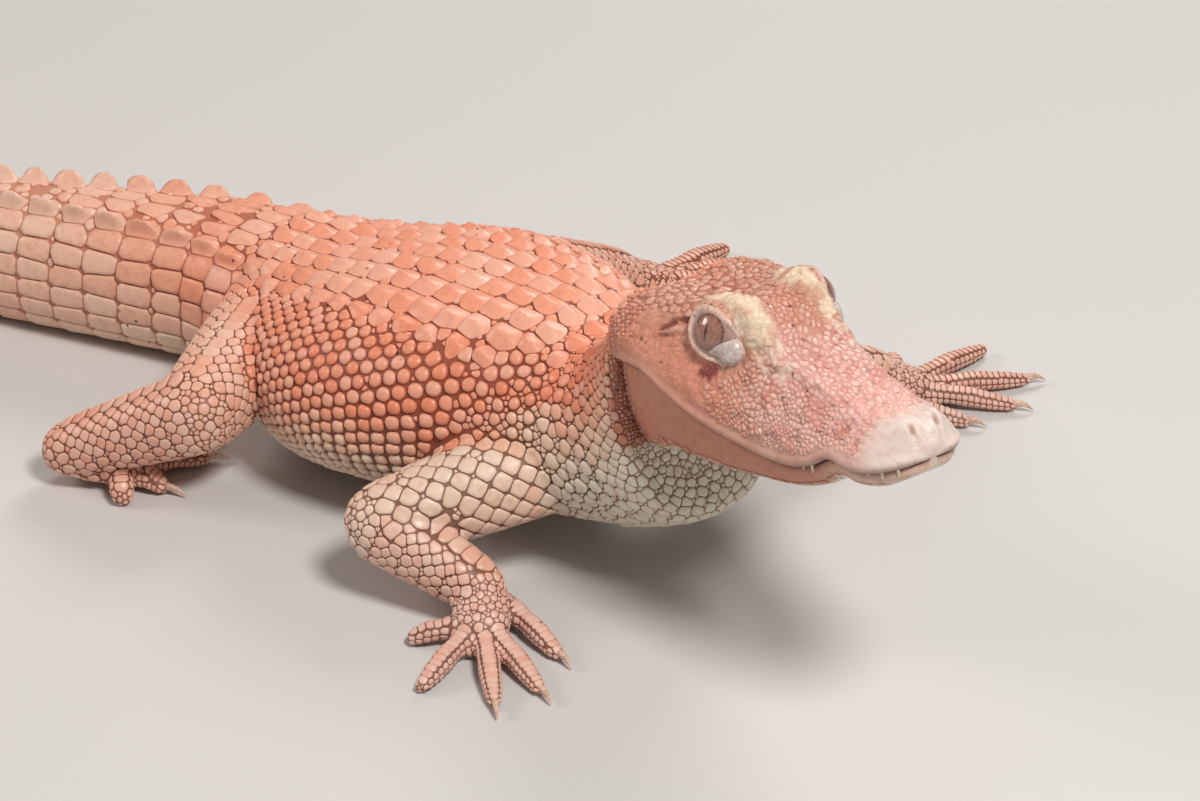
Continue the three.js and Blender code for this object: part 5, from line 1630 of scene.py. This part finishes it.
def eye_finish():
    """Brown-pink iris with a thin upright pupil and a dark rim, under a wet coat."""
    finish, tree, shade = new_finish("eye")
    place = add_node(tree, "ShaderNodeUVMap", uv_map="gaze").outputs["UV"]
    split = add_node(tree, "ShaderNodeSeparateXYZ")
    far = add_node(tree, "ShaderNodeVectorMath", operation="LENGTH")
    spokes = add_node(tree, "ShaderNodeTexNoise", Scale=14.0, Detail=4.0, Roughness=0.7)
    join_up(tree, (place, split.inputs["Vector"]), (place, far.inputs[0]), (place, spokes.inputs["Vector"]))
    distance = far.outputs["Value"]
    ramp = add_node(tree, "ShaderNodeValToRGB")
    stops = [(0, (0.24, 0.1, 0.07)), (0.2, (0.3, 0.13, 0.09)), (0.31, (0.24, 0.1, 0.075)), (0.35, (0.08, 0.03, 0.026)),
             (0.39, (0.36, 0.2, 0.16)), (0.6, (0.5, 0.38, 0.33))]
    while len(ramp.color_ramp.elements) < len(stops):
        ramp.color_ramp.elements.new(0.5)
    for element, (at, colour) in zip(ramp.color_ramp.elements, stops):
        element.position = at
        element.color = (*colour, 1)
    join_up(tree, (distance, ramp.inputs["Fac"]))
    spoke = range_of(tree, spokes.outputs["Fac"], 0.4, 0.7, 0, 0.5)
    iris = mix_colour(tree, spoke, ramp.outputs["Color"], (0.5, 0.3, 0.23, 1))
    aside = add_node(tree, "ShaderNodeMath", operation="ABSOLUTE")
    upright = add_node(tree, "ShaderNodeMath", operation="ABSOLUTE")
    reach = add_node(tree, "ShaderNodeMath", operation="MULTIPLY_ADD")
    reach.inputs[1].default_value = 0.09
    join_up(tree, (split.outputs["X"], aside.inputs[0]), (split.outputs["Y"], upright.inputs[0]),
            (upright.outputs[0], reach.inputs[0]), (aside.outputs[0], reach.inputs[2]))
    slit = add_node(tree, "ShaderNodeMath", operation="MULTIPLY")
    join_up(tree, (range_of(tree, reach.outputs[0], 0.02, 0.03, 0.85, 0), slit.inputs[0]),
            (range_of(tree, upright.outputs[0], 0.13, 0.2, 1, 0), slit.inputs[1]))
    whole = mix_colour(tree, slit.outputs[0], iris, (0.03, 0.012, 0.01, 1))
    join_up(tree, (whole, shade.inputs["Base Color"]),
            (range_of(tree, spokes.outputs["Fac"], 0.3, 0.7, 0.16, 0.26), shade.inputs["Roughness"]))
    shade.inputs["Coat Weight"].default_value = 0.8
    shade.inputs["Coat Roughness"].default_value = 0.06
    return finish


def plain_finish(name, colour, other, rough, scale, bump_high):
    """A small part's finish: two tones clouded together, with a fine uneven surface."""
    finish, tree, shade = new_finish(name)
    place = add_node(tree, "ShaderNodeTexCoord").outputs["Object"]
    cloud = add_node(tree, "ShaderNodeTexNoise", Scale=scale, Detail=4.0, Roughness=0.6)
    join_up(tree, (place, cloud.inputs["Vector"]))
    patch = range_of(tree, cloud.outputs["Fac"], 0.35, 0.65, 0, 1)
    whole = mix_colour(tree, patch, (*linear(colour), 1), (*linear(other), 1))
    bump = add_node(tree, "ShaderNodeBump", Strength=0.5, Distance=bump_high)
    join_up(tree, (whole, shade.inputs["Base Color"]), (cloud.outputs["Fac"], bump.inputs["Height"]),
            (bump.outputs["Normal"], shade.inputs["Normal"]),
            (range_of(tree, cloud.outputs["Fac"], 0.3, 0.7, rough - 0.08, rough + 0.08), shade.inputs["Roughness"]))
    return finish


# Eyes, claws and teeth

def gaze_axes(sign):
    gaze = unit(mirror(PUPIL_LOOKS, sign))
    length = unit(np.array([1.0, 0, 0]) - gaze * gaze[0])
    height = np.cross(gaze, length)
    return gaze, length, height * np.sign(height[2])


def eyeballs():
    """Both eyeballs, bulging a little in front, with a map round the way each one looks."""
    bm = bmesh.new()
    chart = bm.loops.layers.uv.new("gaze")
    for sign in (-1, 1):
        gaze, length, height = gaze_axes(sign)
        made = bmesh.ops.create_uvsphere(bm, u_segments=64, v_segments=48, radius=1)["verts"]
        for v in made:
            x, y, z = v.co
            swell = 1 + 0.045 * math.exp(-(math.acos(max(-1, min(1, z))) / 0.5) ** 2)
            spot = (length * x + height * y + gaze * z) * BALL_RADIUS * swell
            angle = math.acos(max(-1, min(1, z))) / (math.pi / 2)
            around = math.hypot(x, y) or 1.0
            for loop in v.link_loops:
                loop[chart].uv = (x / around * angle, y / around * angle)
            v.co = in_head(mirror(BALL_AT, sign) + spot)
    bmesh.ops.recalc_face_normals(bm, faces=bm.faces)
    return object_from(bm, "eyes")


def third_lids():
    """The wrinkled grey lid over the lower front of each eyeball."""
    bm = bmesh.new()
    for sign in (-1, 1):
        gaze, length, height = gaze_axes(sign)
        lower = unit(length * 0.72 - height * 0.7 + gaze * 0.15)
        side = unit(np.cross(lower, gaze))
        third = np.cross(lower, side)
        one = bmesh.new()
        bmesh.ops.create_uvsphere(one, u_segments=72, v_segments=60, radius=1)
        bmesh.ops.bisect_plane(one, geom=one.verts[:] + one.edges[:] + one.faces[:], plane_co=(0, 0, 0.62),
                               plane_no=(0, 0, 1), clear_inner=True)
        for v in one.verts:
            out = side * v.co.x + third * v.co.y + lower * v.co.z
            edge = float(soft_step(0.62, 0.7, v.co.z))
            fold = 0.4 * float(grain(out[None] * np.array([1, 1, 2.2]), 0.15, 61)[0]) * edge
            fold -= 0.35 * edge * math.exp(-((v.co.z - 0.8) / 0.02) ** 2)
            v.co = mirror(BALL_AT, sign) + out * (eye_reach(out, sign) + (0.4 + 0.2 * edge + fold) / HEAD_LENGTH)
        reach, far, out = lid_reach(np.array([v.co for v in one.verts]), sign)
        for v, place in zip(one.verts, out * (far - 0.009 * soft_step(0.78, 1.02, reach))[:, None]):
            v.co = mirror(BALL_AT, sign) + place
        hidden = reach > 1.06
        bmesh.ops.delete(one, geom=[v for v, gone in zip(list(one.verts), hidden) if gone], context="VERTS")
        for v in one.verts:
            v.co = in_head(v.co)
        bmesh.ops.recalc_face_normals(one, faces=one.faces)
        bmesh.ops.solidify(one, geom=one.faces[:], thickness=0.35)
        bmesh.ops.recalc_face_normals(one, faces=one.faces)
        add_to(bm, one)
    return object_from(bm, "third_lids")


def claws():
    """Short curved claws on the first three digits of each hand and foot."""
    bm = bmesh.new()
    for plan in PLANS.values():
        for i in range(CLAWED):
            *_, along, end = digit_line(plan, i, np.array([1.0]))
            long = plan["look"]["claw"]
            share = np.linspace(-0.45, 1, 14)
            middle = end + along * (share * long * 0.87)[:, None]
            middle[:, 2] = smooth([-0.45, 0.15, 0.6, 1], [3.8, 4.9, 4.1, 1.6], share)
            thick = smooth([-0.45, 0.15, 0.6, 1], [2.0, 1.85, 1.2, 0.3], share)
            side = unit([-along[1], along[0], 0])
            count = len(share)
            turn = 2 * np.pi * np.arange(14) / 14
            rings = oval(middle, np.tile(side, (count, 1)), np.tile([0, 0, 1.0], (count, 1)), thick * 0.78,
                         thick, thick, turn)
            add_to(bm, closed_rings(rings))
    return object_from(bm, "claws")


def teeth():
    """Small pointed teeth that hang from the upper lip over the lower one."""
    bm = bmesh.new()
    for sign in (-1, 1):
        for at, long, thick in ((0.945, 0.022, 0.0055), (0.915, 0.02, 0.006), (0.88, 0.011, 0.005), (0.77, 0.01, 0.005),
                                (0.69, 0.02, 0.006), (0.66, 0.012, 0.005)):
            lip, mouth = float(head_value(2, at)), float(head_value(1, at))
            share = np.linspace(0, 1, 7)
            turn = 2 * np.pi * np.arange(10) / 10
            thin = thick * np.cos(share * 1.42)
            rings = np.stack([
                at + thin[:, None] * np.cos(turn)[None],
                sign * (lip - 0.0075 - 0.002 * share[:, None] + 0.8 * thin[:, None] * np.sin(turn)[None]),
                (mouth + 0.012 - (long + 0.012) * share)[:, None] + 0 * turn[None]], -1)
            add_to(bm, closed_rings(in_head(rings)))
    return object_from(bm, "teeth")


# The whole animal

def place_piece(piece, finish, slot, nodes):
    move_to(piece.data, to_frame(places_of(piece.data)))
    piece.data.polygons.foreach_set("use_smooth", [True] * len(piece.data.polygons))
    piece.data.materials.clear()
    piece.data.materials.append(finish)
    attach(piece, "root")
    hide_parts(*nodes)


def chart_places(points, part, along, turn, on_head):
    """Where each place lies on an unwrap of the skin: body, head, and each limb with its digits."""
    h = to_head(points)
    body = np.stack([0.02 + 0.96 * along, 0.02 + 0.42 * (turn / (2 * np.pi) + 0.5)], -1)
    angle = np.arctan2(h[:, 1], h[:, 2] - 0.05) / (2 * np.pi) + 0.5
    head = np.stack([0.02 + 0.36 * np.clip(h[:, 0], -0.05, 1), 0.5 + 0.46 * angle], -1)
    which = np.maximum(part, 0)
    level = PART_LEVEL[which]
    v = np.where(level < 3, 0.5 + (level + along) / 3 * 0.28, 0.8 + (level - 3 + along) / 5 * 0.16)
    limb = np.stack([0.42 + 0.14 * PART_LIMB[which] + 0.13 * (turn / (2 * np.pi) + 0.5), v], -1)
    return np.where(on_head[:, None], head, np.where((part >= 0)[:, None], limb, body))


def side_of(points):
    return np.where(points[:, 1] > 0, "left", "right")


def fill_plan(points, part, along, on_head):
    """Size, height, kind and piece of the small scales that may grow at each place."""
    size, high, stretch, under = head_zone(points)
    stop = along * 10
    body_size = np.where(stop < 2.4, 4.8, np.where(stop < 9, 6.3, 5.5))
    limb = part >= 0
    which = np.maximum(part, 0)
    off_head = np.where(limb, PART_SIZE[which], body_size)
    off_high = np.where(limb, np.where(PART_LEVEL[which] >= 2, 0.28, 0.45), np.where(stop < 2.4, 0.62, 0.8))
    side = side_of(points)
    body_piece = np.where(stop < 2.4, "neck_scales_", "side_scales_").astype(object) + side.astype(object)
    body_piece = np.where(stop > 9, "tail_scales", body_piece)
    piece = np.where(limb, PART_NAME[which], body_piece)
    piece = np.where(on_head, np.where(under, "throat_scales", "head_scales"), piece)
    kind = np.where((limb & (PART_LEVEL[which] >= 3)) | on_head, "grain", "bead").astype(object)
    kind = np.where(on_head & under, "tile", kind)
    return (np.where(on_head, size, off_head), np.where(on_head, high, off_high), np.where(on_head, stretch, 1),
            kind, piece.astype(object))


def flow_of(points, part, on_head):
    """The way that scales lie: forward along the body, out along a limb."""
    _, where, _ = body_ratio(points)
    flow = np.cross(BODY_AXES[1][where], BODY_AXES[2][where])
    for i, (_, _, start, end, *_rest) in enumerate(PARTS):
        flow[part == i] = unit(end - start)
    swirl = np.stack([grain(points, 9, 81 + k) for k in range(3)], -1)
    flow[on_head] = HEAD_TURN[:, 0] + 0.9 * swirl[on_head]
    return flow


body, small = body_flesh()
under_jaw = np.linalg.norm(places_of(body.data) - (HEAD_AT + [-12, 0, -35]), axis=1)
thin_out(body, np.maximum(small, 1 - soft_step(42, 66, under_jaw)), 0.36)
skin = one_skin(body, head_flesh())
surface = Surface(skin.data)
part, along, turn = sort_points(surface.points)
h = to_head(surface.points)
on_head = (h[:, 0] > -0.02) & (h[:, 0] < 1.05) & (h[:, 2] > -0.26) & (np.abs(h[:, 1]) < 0.3) & (part < 0)
size, high, stretch, kind, piece_names = fill_plan(surface.points, part, along, on_head)
colours = body_colour(surface.points, part, along, turn)
colours[on_head] = head_colour(h[on_head])
links = edges_of(skin.data)
soft_hide = even_out(colours, links, 7, 0.5, 0)
hide = np.where(on_head[:, None], 0.25 * soft_hide + 0.75 * colours, soft_hide)

rows = settle(seeds.all(), surface)
flow = flow_of(surface.points, part, on_head)
rows = fill_gaps(rows, surface, size, high, stretch, kind, piece_names, flow)
for smaller in (0.52, 0.36):
    leftover = np.where(on_head & (h[:, 2] > -0.02), 0, size * smaller)
    rows = fill_gaps(rows, surface, leftover, high * 0.7, stretch, kind, piece_names, flow)
skin_tree = tree_of(surface.points)
root = np.array([skin_tree.find(p)[1] for p in rows["point"]])
charts = chart_places(surface.points, part, along, turn, on_head)[root]
seam = seam_colour_and_shade(hide, on_head, h, along * 10, part)
pieces = scale_pieces(rows, surface, charts, hide[root], seam[root])

# skin under and between scales shows the seam colour, partly painted crease shade; bare skin keeps the plain hide
bare = (size == 0).astype(float)[:, None]
bare = even_out(bare, links, 2, 0.5, 0)[:, 0]
skin.data.attributes.new("rim", "FLOAT", "POINT").data.foreach_set("value", (0.1 + 0.9 * bare).astype(np.float32))
skin.data.attributes.new("tone", "FLOAT", "POINT").data.foreach_set("value", np.full(len(bare), 0.3, np.float32))
over_lip = soft_step(0.02, 0.06, h[:, 2] - head_value(1, np.clip(h[:, 0], 0, 0.975)))
folds = on_head * over_lip * (1 - soft_step(0.55, 0.8, h[:, 0]))
skin.data.attributes.new("fold", "FLOAT", "POINT").data.foreach_set("value", folds.astype(np.float32))
set_colour(skin.data, "hide", hide)
set_colour(skin.data, "seam", seam)
skin.name = skin.data.name = "skin"

scale_finish = hide_finish("scale hide", 900.0, 0.00025, 0.36)
skin_finish = hide_finish("bare hide", 520.0, 0.0004, 0.45, wrinkled=True)
LIMB_NODES = {"arm": ["upper_arm", "forearm", "hand"], "leg": ["thigh", "shank", "foot"]}
limb_nodes = [f"{node}_{side}" for side in LIMBS for names in LIMB_NODES.values() for node in names]
tail_nodes = [f"tail_{i}" for i in range(1, 6)]
torso_nodes = ["torso_front", "torso_rear"]
place_piece(skin, skin_finish, "scaly_skin", ["head", "jaw", "neck"] + torso_nodes + tail_nodes + limb_nodes)
COVERED = {"head": ("head_skin", ["head"]), "throat": ("jaw_skin", ["jaw"]), "neck": ("scaly_skin", ["neck"]),
           "tail": ("scaly_skin", tail_nodes)}
for name, piece in pieces.items():
    region, *_, side = name.split("_")
    if region in LIMB_NODES:
        place_piece(piece, scale_finish, "limb_skin", [f"{node}_{side}" for node in LIMB_NODES[region]])
    else:
        place_piece(piece, scale_finish, *COVERED.get(region, ("scaly_skin", torso_nodes)))
place_piece(eyeballs(), eye_finish(), "eye", ["eye_right", "eye_left"])
place_piece(third_lids(), plain_finish("third lid", (214, 202, 196), (188, 166, 158), 0.32, 420.0, 0.0004), "eye",
            ["eye_right", "eye_left"])
place_piece(claws(), plain_finish("claw", (226, 196, 176), (196, 150, 128), 0.35, 700.0, 0.0001), "limb_skin",
            [f"{node}_{side}" for node in ("hand", "foot") for side in LIMBS])
place_piece(teeth(), plain_finish("tooth", (236, 224, 200), (214, 196, 160), 0.3, 800.0, 0.00005), "head_skin", ["head"])


# Camera and light

def photo_camera():
    camera_data = bpy.data.cameras.new("photo camera")
    camera = bpy.data.objects.new("photo camera", camera_data)
    bpy.context.scene.collection.objects.link(camera)
    camera_data.sensor_width = 36
    camera_data.lens = 126
    camera_data.clip_end = 50
    stand = to_frame([1306.0, -1177.0, 1062.0])
    look = Vector((-0.61978, 0.60101, -0.50463))
    camera.location = stand
    camera.rotation_euler = look.to_track_quat("-Z", "Y").to_euler()
    bpy.context.scene.camera = camera


def soft_light(name, place, target, size, power, colour):
    data = bpy.data.lights.new(name, "AREA")
    data.shape = "DISK"
    data.size = size
    data.energy = power
    data.color = colour
    light = bpy.data.objects.new(name, data)
    light.location = place
    light.rotation_euler = (Vector(target) - Vector(place)).to_track_quat("-Z", "Y").to_euler()
    bpy.context.scene.collection.objects.link(light)


def studio():
    world = bpy.data.worlds.new("studio")
    bpy.context.scene.world = world
    world.use_nodes = True
    world.node_tree.nodes["Background"].inputs["Color"].default_value = (0.9, 0.92, 0.95, 1)
    world.node_tree.nodes["Background"].inputs["Strength"].default_value = 0.22
    bpy.context.scene.view_settings.view_transform = "Standard"
    soft_light("key", (1.35, -0.35, 1.7), (0.2, 0, 0.05), 0.5, 31, (1, 0.98, 0.95))
    soft_light("side", (-1.3, -1.2, 1.2), (0, 0, 0.05), 0.8, 14, (1, 0.9, 0.84))
    soft_light("back", (-0.5, 1.5, 1.4), (0.1, 0, 0.1), 0.9, 18, (1, 0.95, 0.92))
    bm = bmesh.new()
    bmesh.ops.create_grid(bm, x_segments=2, y_segments=2, size=6)
    floor = object_from(bm, "floor")
    paper = bpy.data.materials.new("pale floor")
    paper.use_nodes = True
    shade = paper.node_tree.nodes["Principled BSDF"]
    shade.inputs["Base Color"].default_value = (0.62, 0.6, 0.58, 1)
    shade.inputs["Roughness"].default_value = 0.7
    floor.data.materials.append(paper)


photo_camera()
studio()
